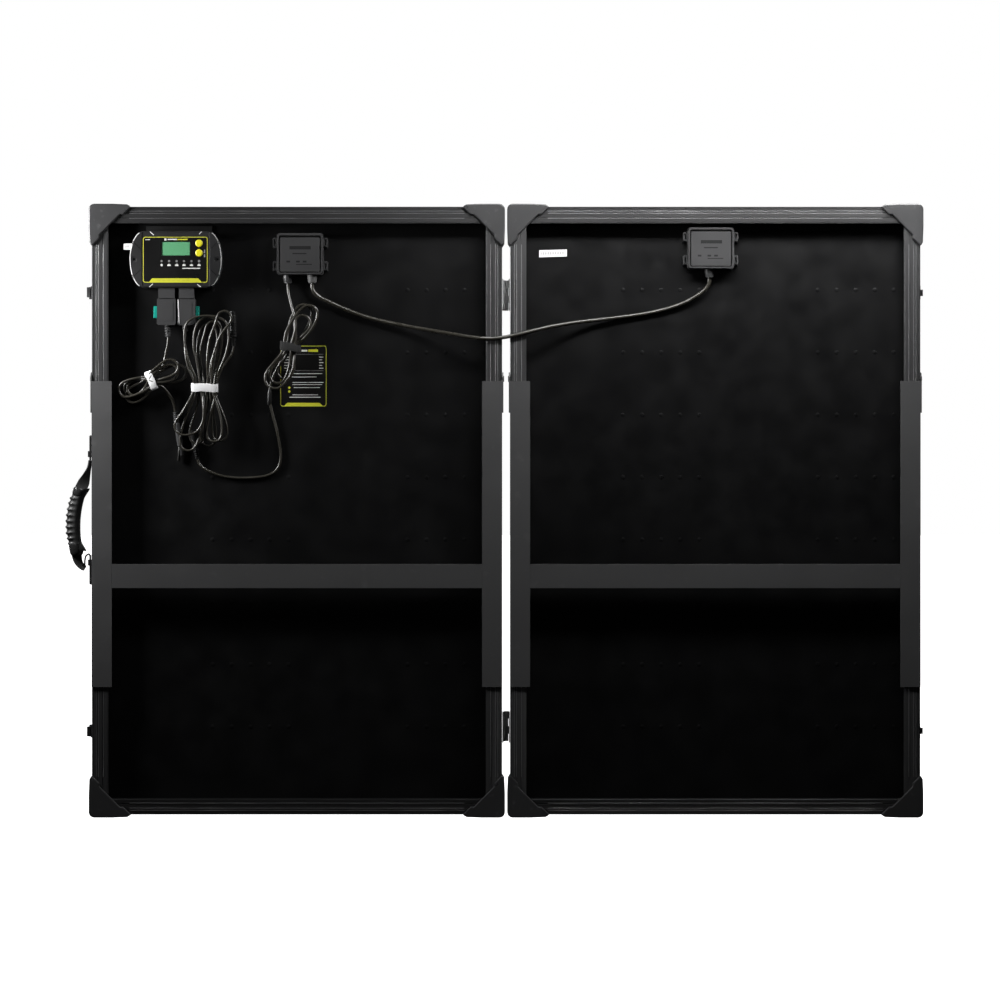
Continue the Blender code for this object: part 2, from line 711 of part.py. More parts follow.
def controller():
    front = CONTROL_SPLIT
    base = part("controller_base", prism(controller_outline(), "Y", front, RECESS), CASE_PLASTIC)
    join(base, box((-0.595, RECESS - 0.003, 0.9615), (-0.486, RECESS, 0.975)))
    cut(base, *screw_holes())

    cover = part(
        "controller_cover",
        prism(controller_outline(), "Y", CONTROL_BACK, front - TOUCH_GAP),
        CASE_PLASTIC,
    )
    soften(cover, 0.003, 2)
    face = CONTROL_BACK + 0.0025
    cavity = box((-0.598, face, 0.878), (-0.490, front + 0.001, 0.959))
    window = box(
        (DISPLAY_LOW[0] - 0.001, CONTROL_BACK - 0.001, DISPLAY_LOW[1] - 0.001),
        (DISPLAY_HIGH[0] + 0.001, face + 0.001, DISPLAY_HIGH[1] + 0.001),
    )
    cut(cover, cavity, window, *screw_holes())

    board_back = -0.0046
    plate = box((-0.596, board_back, 0.880), (-0.492, board_back + 0.0016, 0.957))
    board = part("controller_board", plate, BOARD_GREEN)
    display = box(
        (DISPLAY_LOW[0], CONTROL_BACK + 0.0007, DISPLAY_LOW[1]),
        (DISPLAY_HIGH[0], board_back + 0.0005, DISPLAY_HIGH[1]),
    )
    join(board, display)
    for x in (-0.588, -0.500):
        for z in (0.888, 0.9165):
            join(board, rod((x, board_back + 0.001, z), (x, front - TOUCH_GAP, z), 0.0025, 8))

    for place, height in BUTTON_HEIGHTS.items():
        hole = rod(
            (BUTTON_X, CONTROL_BACK - 0.001, height),
            (BUTTON_X, face + 0.001, height),
            BUTTON_RADIUS + TOUCH_GAP,
            24,
        )
        cut(cover, hole)
        inside = face + TOUCH_GAP
        proud = inside - CONTROL_BACK + 0.0012
        stem = 0.0055
        profile = [
            (0, proud),
            (0.0045, proud),
            (BUTTON_RADIUS, proud - 0.0008),
            (BUTTON_RADIUS, 0),
            (0.0074, 0),
            (0.0074, -0.001),
            (0.0025, -0.001),
            (0.0025, -stem),
            (0, -stem),
        ]
        seat = Vector((BUTTON_X, inside, height))
        turned(
            f"controller_button_{place}", profile, seat, seat - Vector((0, 1, 0)), BUTTON_YELLOW, ROOT, 20
        )


def plug(name, facts):
    """A connector block under the controller, its ribbed strain relief and its release tab."""
    half = facts["width"] / 2
    x = facts["x"]
    back = PLUG_DEPTH - 0.0085
    front = PLUG_DEPTH + 0.0085
    outline = rounded_rectangle(
        (x, (PLUG_BOTTOM + PLUG_TOP) / 2), facts["width"], PLUG_TOP - PLUG_BOTTOM, 0.002, 1
    )
    obj = part(f"controller_plug_{name}", prism(outline, "Y", back, front), CASE_PLASTIC)
    neck_top = CONTROL_Z - CONTROL_HALF_HEIGHT - TOUCH_GAP
    neck = box((x - half + 0.002, back + 0.002, PLUG_TOP - 0.001), (x + half - 0.002, front, neck_top))
    relief_top = (facts["cord_x"], PLUG_DEPTH, PLUG_BOTTOM + 0.001)
    relief_end = (facts["cord_x"], PLUG_DEPTH, facts["relief_end"])
    join(obj, neck, rod(relief_top, relief_end, 0.0048, 14, 0.0034))

    side = facts["tab"]
    edge = x + side * half
    pocket = sorted((edge + side * 0.001, edge - side * (TAB_TRAVEL + 0.001)))
    cut(obj, box((pocket[0], PLUG_DEPTH - 0.0055, 0.8214), (pocket[1], PLUG_DEPTH + 0.0055, 0.8422)))
    axis = make_empty(f"release_axis_{name}", (edge, PLUG_DEPTH, 0.832), ROOT)
    low, high = sorted((edge - side * TOUCH_GAP, edge + side * 0.006))
    tab = box((low, PLUG_DEPTH - 0.005, 0.822), (high, PLUG_DEPTH + 0.005, 0.8416))
    soften(part(f"release_tab_{name}", tab, TAB_TEAL, axis), 0.0008)


# ---------------------------------------------------------------- cords
LINK_ROUTE = [
    (-320.0, 2.5, 879.8),
    (-320.0, 2.5, 869.0),
    (-311.0, 3.5, 859.5),
    (-289.7, 5.0, 848.7),
    (-256.8, 6.0, 834.0),
    (-218.0, 6.0, 821.3),
    (-174.5, 4.0, 811.5),
    (-130.0, -1.5, 803.2),
    (-95.0, -9.5, 796.8),
    (-65.0, -17.5, 791.3),
    (-42.9, -21.2, 788.3),
    (-20.0, -21.8, 787.8),
    (0.0, -21.8, 790.2),
    (20.0, -21.8, 794.4),
    (42.9, -21.2, 800.2),
    (70.0, -16.5, 806.8),
    (105.0, -6.5, 813.6),
    (150.0, 2.0, 819.6),
    (200.0, 6.0, 825.8),
    (236.0, 6.5, 831.3),
    (262.0, 6.2, 837.2),
    (286.0, 5.5, 844.8),
    (304.0, 4.6, 852.8),
    (319.5, 3.6, 862.6),
    (330.5, 2.8, 871.5),
    (336.0, 2.5, 881.0),
    (336.0, 2.5, 889.6),
]
INPUT_ROUTE = [
    (-557.0, -4.0, 790.0),
    (-557.0, -4.0, 780.0),
    (-560.0, -0.5, 765.0),
    (-563.5, 4.5, 751.0),
    (-568.5, 7.8, 737.0),
    (-573.0, 8.4, 723.0),
    (-573.0, 8.3, 709.0),
    (-566.0, 7.6, 697.0),
    (-556.2, 6.4, 686.0),
    (-548.6, 5.7, 677.0),
    (-546.8, 5.6, 668.6),
]
BOX_LEAD_ROUTE = [
    (-360.0, 2.5, 879.9),
    (-360.0, 2.5, 869.0),
    (-354.0, 5.5, 853.0),
    (-348.0, 7.3, 835.0),
    (-347.0, 7.6, 812.0),
    (-353.0, 7.6, 788.0),
    (-364.0, 7.6, 762.0),
    (-377.0, 7.6, 736.0),
    (-388.0, 7.6, 712.0),
    (-390.5, 7.8, 690.0),
    (-384.0, 8.2, 668.0),
    (-377.5, 8.4, 645.0),
    (-373.5, 8.6, 618.0),
    (-374.5, 8.6, 592.0),
    (-382.0, 8.6, 573.0),
    (-400.0, 8.6, 562.5),
    (-430.0, 8.6, 558.5),
    (-462.0, 8.6, 560.5),
    (-488.0, 8.2, 568.5),
    (-502.5, 7.2, 576.5),
    (-508.3, 6.2, 583.0),
    (-509.6, 6.0, 589.3),
]
INPUT_PLUG = ((-546.6, 5.6, 667.6), (-536.0, 5.8, 596.0))
BOX_SOCKET = ((-509.8, 6.0, 590.0), (-519.0, 5.6, 637.0))
OUTPUT_CONNECTOR = ((-449.0, -8.0, 776.0), (-450.5, -8.0, 828.0))


def link_cable():
    """The cable between the junction boxes, parted at the fold line."""
    split = next(i for i, place in enumerate(LINK_ROUTE) if place[0] == 0.0)
    left = [*LINK_ROUTE[:split], (-0.15, *LINK_ROUTE[split][1:])]
    right = [(0.15, *LINK_ROUTE[split][1:]), *LINK_ROUTE[split + 1 :]]
    cord("link_cable_left", left, 0.0063)
    cord("link_cable_right", right, 0.0063, FOLD)


def end_piece(name, ends, profile, material):
    start, end = (Vector(place) / 1000 for place in ends)
    length = (end - start).length
    scaled = [(radius, length * share) for radius, share in profile]
    turned(name, scaled, start, end, material)


def leads():
    cord("input_lead", INPUT_ROUTE, 0.0045)
    hank(
        "input_hank",
        [(-641, 700), (-628, 712), (-600, 726), (-575, 741), (-548, 752), (-527, 746), (-527, 732)]
        + [(-545, 717), (-566, 707), (-590, 699), (-612, 686), (-632, 684)],
        -0.0140,
        0.0005,
    )
    relief = [(0, 1), (0.0028, 1), (0.0028, 0.80), (0.0050, 0.78), (0.0050, 0.28), (0.0040, 0.26)]
    end_piece("input_plug", INPUT_PLUG, [*relief, (0.0030, 0), (0, 0)], CASE_PLASTIC)

    hank(
        "output_hank",
        [(-519, 788), (-508, 806), (-490, 812), (-474, 808), (-464, 790), (-462, 766), (-468, 735)]
        + [(-476, 708), (-475, 690), (-468, 660), (-470, 632), (-484, 602), (-504, 596)]
        + [(-524, 610), (-529, 645), (-523, 675), (-516, 702), (-523, 735), (-529, 760)],
        -0.0160,
        -0.0003,
    )
    shell = [(0, 1), (0.0050, 1), (0.0060, 0.95), (0.0060, 0.40), (0.0045, 0.36)]
    end_piece("output_connector", OUTPUT_CONNECTOR, [*shell, (0.0030, 0), (0, 0)], CASE_PLASTIC)

    cord("box_lead", BOX_LEAD_ROUTE, 0.0045)
    hank(
        "box_hank",
        [(-363, 833), (-352, 846), (-330, 846), (-315, 826), (-319, 803), (-333, 780), (-345, 762)]
        + [(-352, 735), (-366, 712), (-384, 705), (-396, 716), (-394, 740), (-378, 766), (-366, 795)],
        -0.0130,
        0.0030,
    )
    shell = [(0, 1), (0.0046, 1), (0.0050, 0.96), (0.0050, 0.42), (0.0040, 0.38)]
    end_piece("box_lead_socket", BOX_SOCKET, [*shell, (0.0026, 0), (0, 0)], CASE_PLASTIC)


# ---------------------------------------------------------------- the whole object
panel(-1, "left", ROOT)
panel(1, "right", FOLD)
kickstand(-1, "kickstand_left", ROOT)
kickstand(1, "kickstand_right", FOLD)
for hinge_place, hinge_middle in HINGE_HEIGHTS.items():
    hinge(hinge_place, hinge_middle)
for latch_place, latch_middle in LATCH_HEIGHTS.items():
    latch(latch_place, latch_middle)
    catch(latch_place, latch_middle)
handle()
junction_box("left", ROOT)
junction_box("right", FOLD)
controller()
for plug_name, plug_facts in PLUGS.items():
    plug(plug_name, plug_facts)
link_cable()
leads()
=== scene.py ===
"""The looks of a folding two-panel solar kit, opened out and standing on its long edge.

Places are in millimetres from the fold line (x), the middle of the frames' depth (y) and the floor
(z); at() turns them into the frame's own metres. The backs of the panels face -Y, the glass +Y.
"""

import math
import random

import bmesh
import bpy
from mathutils import Matrix, Vector


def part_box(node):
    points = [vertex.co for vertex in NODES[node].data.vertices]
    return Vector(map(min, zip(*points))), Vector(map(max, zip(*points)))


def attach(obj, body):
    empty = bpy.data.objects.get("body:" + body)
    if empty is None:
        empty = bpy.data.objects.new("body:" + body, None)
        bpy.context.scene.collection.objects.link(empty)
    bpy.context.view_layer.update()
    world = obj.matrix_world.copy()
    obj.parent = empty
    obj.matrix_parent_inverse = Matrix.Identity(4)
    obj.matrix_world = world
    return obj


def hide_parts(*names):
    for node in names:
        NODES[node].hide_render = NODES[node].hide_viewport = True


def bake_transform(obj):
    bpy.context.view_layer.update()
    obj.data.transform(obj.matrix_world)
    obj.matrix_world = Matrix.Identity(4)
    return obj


MM = 0.001
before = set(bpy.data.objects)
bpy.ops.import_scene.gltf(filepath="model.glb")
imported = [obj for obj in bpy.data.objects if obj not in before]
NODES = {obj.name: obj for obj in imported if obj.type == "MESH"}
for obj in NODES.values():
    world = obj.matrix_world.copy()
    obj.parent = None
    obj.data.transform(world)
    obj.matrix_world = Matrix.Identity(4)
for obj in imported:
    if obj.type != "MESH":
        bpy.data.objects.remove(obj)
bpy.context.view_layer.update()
LEFT = "left_panel"
RIGHT = "right_panel"
LEFT_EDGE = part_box("left_rail_inner")
RIGHT_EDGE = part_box("right_rail_inner")
FOLD_X = (LEFT_EDGE[1].x + RIGHT_EDGE[0].x) / 2
MID_Y = (LEFT_EDGE[0].y + LEFT_EDGE[1].y) / 2
RNG = random.Random(7)


def at(x, y, z):
    return Vector((FOLD_X + x * MM, MID_Y + y * MM, z * MM))


def filled(node, values):
    """The node, with a value given to each input that is named."""
    for name, value in values.items():
        node.inputs[name].default_value = value
    return node


# ---------------------------------------------------------------- camera, lights and floor
VIEW_WIDTH = 1.645
VIEW_MIDDLE = (-10, 522.3)
SENSOR_WIDTH = 36
CAMERA_DISTANCE = 5.0
BACK_PLANE = -17.5


def camera():
    data = bpy.data.cameras.new("camera")
    data.sensor_width = SENSOR_WIDTH
    data.lens = SENSOR_WIDTH * CAMERA_DISTANCE / VIEW_WIDTH
    obj = bpy.data.objects.new("camera", data)
    obj.location = at(VIEW_MIDDLE[0], BACK_PLANE, VIEW_MIDDLE[1]) - Vector((0, CAMERA_DISTANCE, 0))
    obj.rotation_euler = (math.radians(90), 0, 0)
    bpy.context.scene.collection.objects.link(obj)
    bpy.context.scene.camera = obj


def softbox(name, place, target, width, height, power):
    data = bpy.data.lights.new(name, "AREA")
    data.shape = "RECTANGLE"
    data.size = width
    data.size_y = height
    data.energy = power
    obj = bpy.data.objects.new(name, data)
    obj.location = place
    toward = Vector(target) - Vector(place)
    obj.rotation_euler = toward.to_track_quat("-Z", "Y").to_euler()
    obj.visible_camera = False
    bpy.context.scene.collection.objects.link(obj)


def studio():
    world = bpy.data.worlds.new("studio")
    world.use_nodes = True
    filled(world.node_tree.nodes["Background"], {"Color": (1, 1, 1, 1), "Strength": 1.0})
    bpy.context.scene.world = world
    world.cycles_visibility.diffuse = False
    world.cycles_visibility.glossy = False
    bpy.context.scene.view_settings.view_transform = "Standard"

    mesh = bpy.data.meshes.new("floor")
    reach = 40.0
    drop = 0.0005
    corners = [(-reach, -reach), (reach, -reach), (reach, reach), (-reach, reach)]
    mesh.from_pydata([(x, y, -drop) for x, y in corners], [], [(0, 1, 2, 3)])
    floor = bpy.data.objects.new("floor", mesh)
    pale = bpy.data.materials.new("pale_floor")
    pale.use_nodes = True
    glow = {"Emission Color": (1, 1, 1, 1), "Emission Strength": 1.6}
    matt = {"Base Color": (0.5, 0.5, 0.5, 1), "Roughness": 0.9}
    filled(pale.node_tree.nodes["Principled BSDF"], {**matt, **glow})
    mesh.materials.append(pale)
    floor.visible_diffuse = False
    floor.visible_glossy = False
    bpy.context.scene.collection.objects.link(floor)

    softbox("key_top", (0.40, -0.34, 1.30), (0.35, 0, 0.95), 0.9, 0.12, 12)
    softbox("key_left", (-1.05, -0.22, 0.95), (-0.62, 0, 0.82), 0.15, 0.35, 10)
    softbox("corner_light", (0.75, -0.35, 1.25), (0.66, 0, 0.97), 0.25, 0.15, 1.4)
    softbox("front_fill", (-0.3, -4.5, 1.6), (0, 0, 0.5), 1.5, 1.0, 1.5)
    softbox("glass_side", (0.9, 2.6, 2.2), (0, 0, 0.5), 2.4, 1.4, 60)
    softbox("glass_fill", (-2.4, 2.4, 0.9), (0, 0, 0.5), 1.2, 1.6, 24)


# ---------------------------------------------------------------- finishes
def link(tree, source, target):
    tree.links.new(source, target)


def noise(tree, scale, stretch, detail):
    """Noise in the object's own space, drawn out along an axis where stretch is small."""
    place = tree.nodes.new("ShaderNodeTexCoord")
    mapping = filled(tree.nodes.new("ShaderNodeMapping"), {"Scale": stretch})
    link(tree, place.outputs["Object"], mapping.inputs["Vector"])
    texture = filled(tree.nodes.new("ShaderNodeTexNoise"), {"Scale": scale, "Detail": detail})
    link(tree, mapping.outputs["Vector"], texture.inputs["Vector"])
    return texture.outputs["Fac"]


def ranged(tree, value, low, high, new_low, new_high):
    limits = {"From Min": low, "From Max": high, "To Min": new_low, "To Max": new_high}
    node = filled(tree.nodes.new("ShaderNodeMapRange"), limits)
    link(tree, value, node.inputs["Value"])
    return node.outputs["Result"]


def mixed(tree, factor, first, second):
    node = tree.nodes.new("ShaderNodeMix")
    node.data_type = "RGBA"
    link(tree, factor, node.inputs["Factor"])
    filled(node, {"A": (*first, 1), "B": (*second, 1)})
    return node.outputs["Result"]


COAT_ROUGHNESS = 0.08
CLOUD_SCALE = 22
WORN_BAND = 0.18


def surface(
    name,
    colour,
    roughness,
    metallic=0.0,
    specular=0.5,
    coat=0.0,
    worn=None,
    worn_from=0.62,
    worn_scale=40,
    grain=1500,
    relief=0.15,
    depth=0.00004,
    spread=0.08,
    stretch=(1, 1, 1),
):
    """A finish with a fine relief, cloudy gloss and, where worn is given, scattered lighter marks."""
    material = bpy.data.materials.new(name)
    material.use_nodes = True
    tree = material.node_tree
    shader = tree.nodes["Principled BSDF"]
    filled(shader, {"Base Color": (*colour, 1), "Metallic": metallic, "Specular IOR Level": specular})
    filled(shader, {"Coat Weight": coat, "Coat Roughness": COAT_ROUGHNESS})
    clouds = noise(tree, CLOUD_SCALE, stretch, 4)
    gloss = ranged(tree, clouds, 0.3, 0.7, roughness - spread, roughness + spread)
    link(tree, gloss, shader.inputs["Roughness"])
    if worn:
        marks = noise(tree, worn_scale, stretch, 8)
        amount = ranged(tree, marks, worn_from, worn_from + WORN_BAND, 0, 1)
        link(tree, mixed(tree, amount, colour, worn), shader.inputs["Base Color"])
    bump = filled(tree.nodes.new("ShaderNodeBump"), {"Strength": relief, "Distance": depth})
    link(tree, noise(tree, grain, stretch, 2), bump.inputs["Height"])
    link(tree, bump.outputs["Normal"], shader.inputs["Normal"])
    return material


def rail_finish(name, tone, stretch):
    return surface(
        name,
        (tone, tone, tone * 1.02),
        0.36,
        metallic=0.75,
        worn=(tone * 1.7, tone * 1.7, tone * 1.7),
        worn_scale=25,
        worn_from=0.55,
        grain=700,
        relief=0.3,
        stretch=stretch,
    )


# The upright rails' tone is lighter than the level rails' as painted light, for the side light that their
# grooves catch.
RAIL_LEVEL = rail_finish("anodised_level", 0.062, (0.04, 1, 1))
RAIL_UPRIGHT = rail_finish("anodised_upright_painted_lighter", 0.10, (1, 1, 0.04))
# A light anodised tone for the strips that paint the highlights on the rails' ridges.
RAIL_HIGHLIGHT_STRIP = rail_finish("anodised_edge", 0.30, (1, 1, 1))
STAND = surface(
    "kickstand_satin", (0.058, 0.058, 0.059), 0.45, specular=0.4, worn=(0.075, 0.075, 0.075), grain=2600
)
CORNER = surface(
    "corner_plastic",
    (0.036, 0.036, 0.037),
    0.34,
    worn=(0.070, 0.070, 0.072),
    worn_scale=110,
    grain=1300,
    relief=0.5,
    depth=0.0001,
)
SHEET = surface(
    "back_sheet", (0.0034, 0.0034, 0.0036), 0.42, specular=0.2, worn=(0.006, 0.006, 0.0065), worn_scale=9
)
CASE = surface("case_plastic", (0.013, 0.013, 0.0135), 0.42, specular=0.4, grain=2200, relief=0.3)
BOX = surface("box_plastic", (0.034, 0.034, 0.035), 0.42, specular=0.4, grain=1800, relief=0.35)
BOX_MARK = surface("box_mark", (0.012, 0.012, 0.012), 0.5, specular=0.2, grain=500, relief=0.6, depth=0.0003)
PLUG = surface("plug_plastic", (0.034, 0.034, 0.035), 0.5, specular=0.35, grain=2500, relief=0.3)
MOULDED = surface("moulded_black", (0.009, 0.009, 0.009), 0.3, specular=0.5, grain=2500, relief=0.2)
TEAL = surface("tab_teal", (0.004, 0.27, 0.21), 0.35, worn=(0.01, 0.36, 0.29))
YELLOW = surface("button_yellow", (0.68, 0.62, 0.02), 0.35, worn=(0.55, 0.5, 0.02))
STEEL = surface(
    "dark_steel", (0.20, 0.20, 0.205), 0.32, metallic=1.0, worn=(0.4, 0.4, 0.4), worn_scale=300
)
# The hinges are black; their grey tone is painted light, for the lamps that don't reach into the gap between
# the frames.
HINGE = surface("hinge_black", (0.34, 0.34, 0.34), 0.45, metallic=0.5, worn=(0.5, 0.5, 0.5))
BRIGHT = surface("bright_metal", (0.75, 0.74, 0.72), 0.2, metallic=1.0, worn=(0.5, 0.5, 0.5))
JACKET = surface(
    "cable_jacket",
    (0.026, 0.024, 0.019),
    0.3,
    specular=0.75,
    worn=(0.05, 0.046, 0.038),
    worn_scale=120,
    relief=0.04,
)
RUBBER = surface("grip_rubber", (0.012, 0.012, 0.012), 0.5, grain=1600, relief=0.4)
WEBBING = surface("webbing", (0.012, 0.012, 0.012), 0.8, grain=900, relief=0.9, depth=0.0003)
WHITE_STRAP = surface(
    "white_strap", (0.72, 0.72, 0.72), 0.8, worn=(0.5, 0.5, 0.5), grain=1100, relief=0.9, depth=0.0003
)
BLACK_STRAP = surface("black_strap", (0.012, 0.012, 0.012), 0.9, grain=1100, relief=0.9, depth=0.0003)
DISPLAY = surface("display_green", (0.095, 0.30, 0.15), 0.3, worn=(0.13, 0.35, 0.2), worn_scale=900)
LABEL = surface("label_black", (0.005, 0.005, 0.005), 0.35, specular=0.22, relief=0.05)


def ink(name, colour):
    return surface(name, colour, 0.4, relief=0.05)


INK_YELLOW = ink("ink_yellow", (0.50, 0.50, 0.03))
INK_LINE = ink("ink_line", (0.42, 0.42, 0.04))
INK_WHITE = ink("ink_white", (0.62, 0.62, 0.60))
INK_GREY = ink("ink_grey", (0.20, 0.20, 0.20))
INK_OLIVE = ink("ink_olive", (0.16, 0.15, 0.02))
# Light grey that paints highlights: along the controller's rounded ends, on its corner ticks and down the
# output plug's edge.
PAINTED_HIGHLIGHT_GREY = surface("painted_highlight_grey", (0.55, 0.55, 0.55), 0.35, worn=(0.5, 0.5, 0.5), worn_scale=90, relief=0.1)
PAPER = surface("paper_white", (0.70, 0.70, 0.70), 0.6, relief=0.1)
# A lighter grey than the box, used on one gland only: a painted highlight on its side.
GLAND_PAINTED_HIGHLIGHT = surface("gland_grey_painted_highlight", (0.10, 0.10, 0.10), 0.5, specular=0.4, relief=0.2)
HINGE_DARK = surface("dark_fitting", (0.03, 0.03, 0.03), 0.3, metallic=0.5, worn=(0.08, 0.08, 0.08))
COLLAR = surface("collar_gloss", (0.02, 0.02, 0.02), 0.18, coat=0.6, relief=0.05)
# A lighter copy of the hinge grey: a painted highlight on the flange that lies across the gap.
HINGE_PAINTED_HIGHLIGHT = surface("hinge_flange", (0.42, 0.42, 0.42), 0.38, metallic=0.4, worn=(0.2, 0.2, 0.2))
GLASS = surface("glass_black", (0.003, 0.003, 0.004), 0.12, coat=1.0, relief=0.0, spread=0.02)
CELL = surface("cell_blue", (0.004, 0.007, 0.016), 0.25, coat=1.0, worn=(0.006, 0.011, 0.024), relief=0.02)
RIBBON = surface("busbar", (0.34, 0.35, 0.37), 0.35, coat=0.8, metallic=0.6, relief=0.05)


# ---------------------------------------------------------------- making pieces
SHARP_FROM = math.radians(35)
CURVE_RINGS = 5
EASING_PASSES = 5
CORNER_STEPS = 5


def piece(name, mesh, material, body):
    mesh.materials.append(material)
    mesh.shade_smooth()
    mesh.set_sharp_from_angle(angle=SHARP_FROM)
    obj = bpy.data.objects.new(name, mesh)
    bpy.context.scene.collection.objects.link(obj)
    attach(obj, body)
    return obj


def from_bmesh(name, work):
    bmesh.ops.recalc_face_normals(work, faces=work.faces)
    mesh = bpy.data.meshes.new(name)
    work.to_mesh(mesh)
    work.free()
    return mesh


def smooth_route(points, spacing=0.003):
    """Points on a smooth curve through a given route, about spacing apart."""
    gaps = [(b - a).length for a, b in zip(points, points[1:], strict=False)]
    slopes = [(b - a) / gap for a, b, gap in zip(points, points[1:], gaps, strict=False)]
    tangents = [slopes[0]]
    for i in range(len(slopes) - 1):
        weight = gaps[i] + gaps[i + 1]
        tangents.append((slopes[i] * gaps[i + 1] + slopes[i + 1] * gaps[i]) / weight)
    tangents.append(slopes[-1])
    route = []
    for i, gap in enumerate(gaps):
        steps = max(1, round(gap / spacing))
        for step in range(steps):
            t = step / steps
            hold = 2 * t**3 - 3 * t**2 + 1
            leave = t**3 - 2 * t**2 + t
            arrive = t**3 - t**2
            route.append(
                points[i] * hold
                + tangents[i] * gap * leave
                + points[i + 1] * (1 - hold)
                + tangents[i + 1] * gap * arrive
            )
    route.append(points[-1])
    return route


def curve_data(name, route, radius, factors=None):
    data = bpy.data.curves.new(name, "CURVE")
    data.dimensions = "3D"
    data.bevel_depth = radius
    data.bevel_resolution = CURVE_RINGS
    data.use_fill_caps = True
    spline = data.splines.new("POLY")
    spline.points.add(len(route) - 1)
    for i, place in enumerate(route):
        spline.points[i].co = (*place, 1)
        spline.points[i].radius = factors[i] if factors else 1
    return data


def meshed(data):
    """A curve's mesh, with its materials cleared."""
    holder = bpy.data.objects.new("holder", data)
    bpy.context.scene.collection.objects.link(holder)
    evaluated = holder.evaluated_get(bpy.context.evaluated_depsgraph_get())
    mesh = bpy.data.meshes.new_from_object(evaluated)
    bpy.data.objects.remove(holder, do_unlink=True)
    mesh.materials.clear()
    return mesh


def tube(name, places, radius, material, body, factors=None):
    """A round bar along a list of places in millimetres."""
    route = [at(*p) for p in places]
    return piece(name, meshed(curve_data(name, route, radius * MM, factors)), material, body)


def eased(route):
    """The same route with its sharper bends spread out."""
    for _ in range(EASING_PASSES):
        middle = [(a + 2 * b + c) / 4 for a, b, c in zip(route, route[1:], route[2:], strict=False)]
        route = [route[0], *middle, route[-1]]
    return route


def loft(name, rows, material, body):
    """A skin over rows of places with the same number in each, filled at both ends."""
    work = bmesh.new()
    rings = [[work.verts.new(place) for place in row] for row in rows]
    for low, high in zip(rings, rings[1:], strict=False):
        for i in range(len(low)):
            j = (i + 1) % len(low)
            work.faces.new((low[i], low[j], high[j], high[i]))
    work.faces.new(rings[0])
    work.faces.new(rings[-1])
    bmesh.ops.remove_doubles(work, verts=work.verts, dist=1e-7)
    return piece(name, from_bmesh(name, work), material, body)


def rounded(x, z, width, height, radius):
    """The outline of a rectangle with rounded corners, about its middle."""
    places = []
    for turn, (across, up) in enumerate(((1, 1), (-1, 1), (-1, -1), (1, -1))):
        middle_x = x + across * (width / 2 - radius)
        middle_z = z + up * (height / 2 - radius)
        for step in range(CORNER_STEPS + 1):
            angle = math.radians(90 * turn + 90 * step / CORNER_STEPS)
            places.append((middle_x + radius * math.cos(angle), middle_z + radius * math.sin(angle)))
    return places


def circle(x, z, radius, sides=24):
    angles = [2 * math.pi * i / sides for i in range(sides)]
    return [(x + radius * math.cos(angle), z + radius * math.sin(angle)) for angle in angles]


def bar(start, end, width):
    """The outline of a straight bar between two places."""
    length = math.dist(start, end)
    across = (end[1] - start[1]) / length * width / 2
    up = (end[0] - start[0]) / length * width / 2
    return [
        (start[0] + across, start[1] - up),
        (end[0] + across, end[1] - up),
        (end[0] - across, end[1] + up),
        (start[0] - across, start[1] + up),
    ]


def flat(name, outlines, back, front, material, body, edge=0.0):
    """Flat pieces between two depths, from outlines in x and z. One inside another is a hole in it."""
    data = bpy.data.curves.new(name, "CURVE")
    data.dimensions = "2D"
    data.fill_mode = "BOTH"
    data.extrude = (front - back) * MM / 2
    for outline in outlines:
        spline = data.splines.new("POLY")
        spline.points.add(len(outline) - 1)
        for point, (x, z) in zip(spline.points, outline, strict=True):
            point.co = (x * MM, z * MM, 0, 1)
        spline.use_cyclic_u = True
    mesh = meshed(data)
    middle = MID_Y + (back + front) / 2 * MM
    mesh.transform(Matrix(((1, 0, 0, FOLD_X), (0, 0, 1, middle), (0, 1, 0, 0), (0, 0, 0, 1))))
    work = bmesh.new()
    work.from_mesh(mesh)
    bmesh.ops.remove_doubles(work, verts=work.verts, dist=1e-6)
    obj = piece(name, from_bmesh(name, work), material, body)
    if edge:
        modifier = obj.modifiers.new("edges", "BEVEL")
        modifier.width = edge * MM
        modifier.segments = 2
        modifier.angle_limit = math.radians(50)
        modifier.harden_normals = True
    return obj


def turned(name, axes, profile, material, body, sides=20):
    """Turned pieces on one mesh. Each has its own axis; the profile is radius and distance along it."""
    work = bmesh.new()
    for start, end in axes:
        origin = at(*start)
        along = (at(*end) - origin).normalized()
        side = along.orthogonal().normalized()
        other = along.cross(side)
        rings = []
        for radius, distance in profile:
            middle = origin + along * distance * MM
            angles = [2 * math.pi * i / sides for i in range(sides if radius else 1)]
            spokes = [(side * math.cos(a) + other * math.sin(a)) * radius * MM for a in angles]
            rings.append([work.verts.new(middle + spoke) for spoke in spokes])
        for low, high in zip(rings, rings[1:], strict=False):
            for i in range(sides):
                j = i + 1
                corners = (low[i % len(low)], low[j % len(low)], high[j % len(high)], high[i % len(high)])
                work.faces.new(list(dict.fromkeys(corners)))
    return piece(name, from_bmesh(name, work), material, body)


def ribbed(length, count, first, last, groove):
    """A tapering profile with rounded ribs."""
    profile = [(0, 0)]
    pitch = length / count
    for number in range(count):
        radius = first + (last - first) * number / max(1, count - 1)
        near = number * pitch
        profile += [(radius - groove, near), (radius, near + 0.25 * pitch)]
        profile += [(radius, near + 0.6 * pitch), (radius - groove, near + 0.85 * pitch)]
    return [*profile, (last - groove, length), (0, length)]


def strap_row(middle, across, outward, width, thickness):
    """The cross-section of webbing, with its selvedges rounded."""
    shape = ((-0.5, -0.25), (-0.46, -0.5), (0, -0.56), (0.46, -0.5), (0.5, -0.25))
    ring = [*shape, *[(u, -v) for u, v in reversed(shape)]]
    return [middle + across * (u * width * MM) + outward * (v * thickness * MM) for u, v in ring]


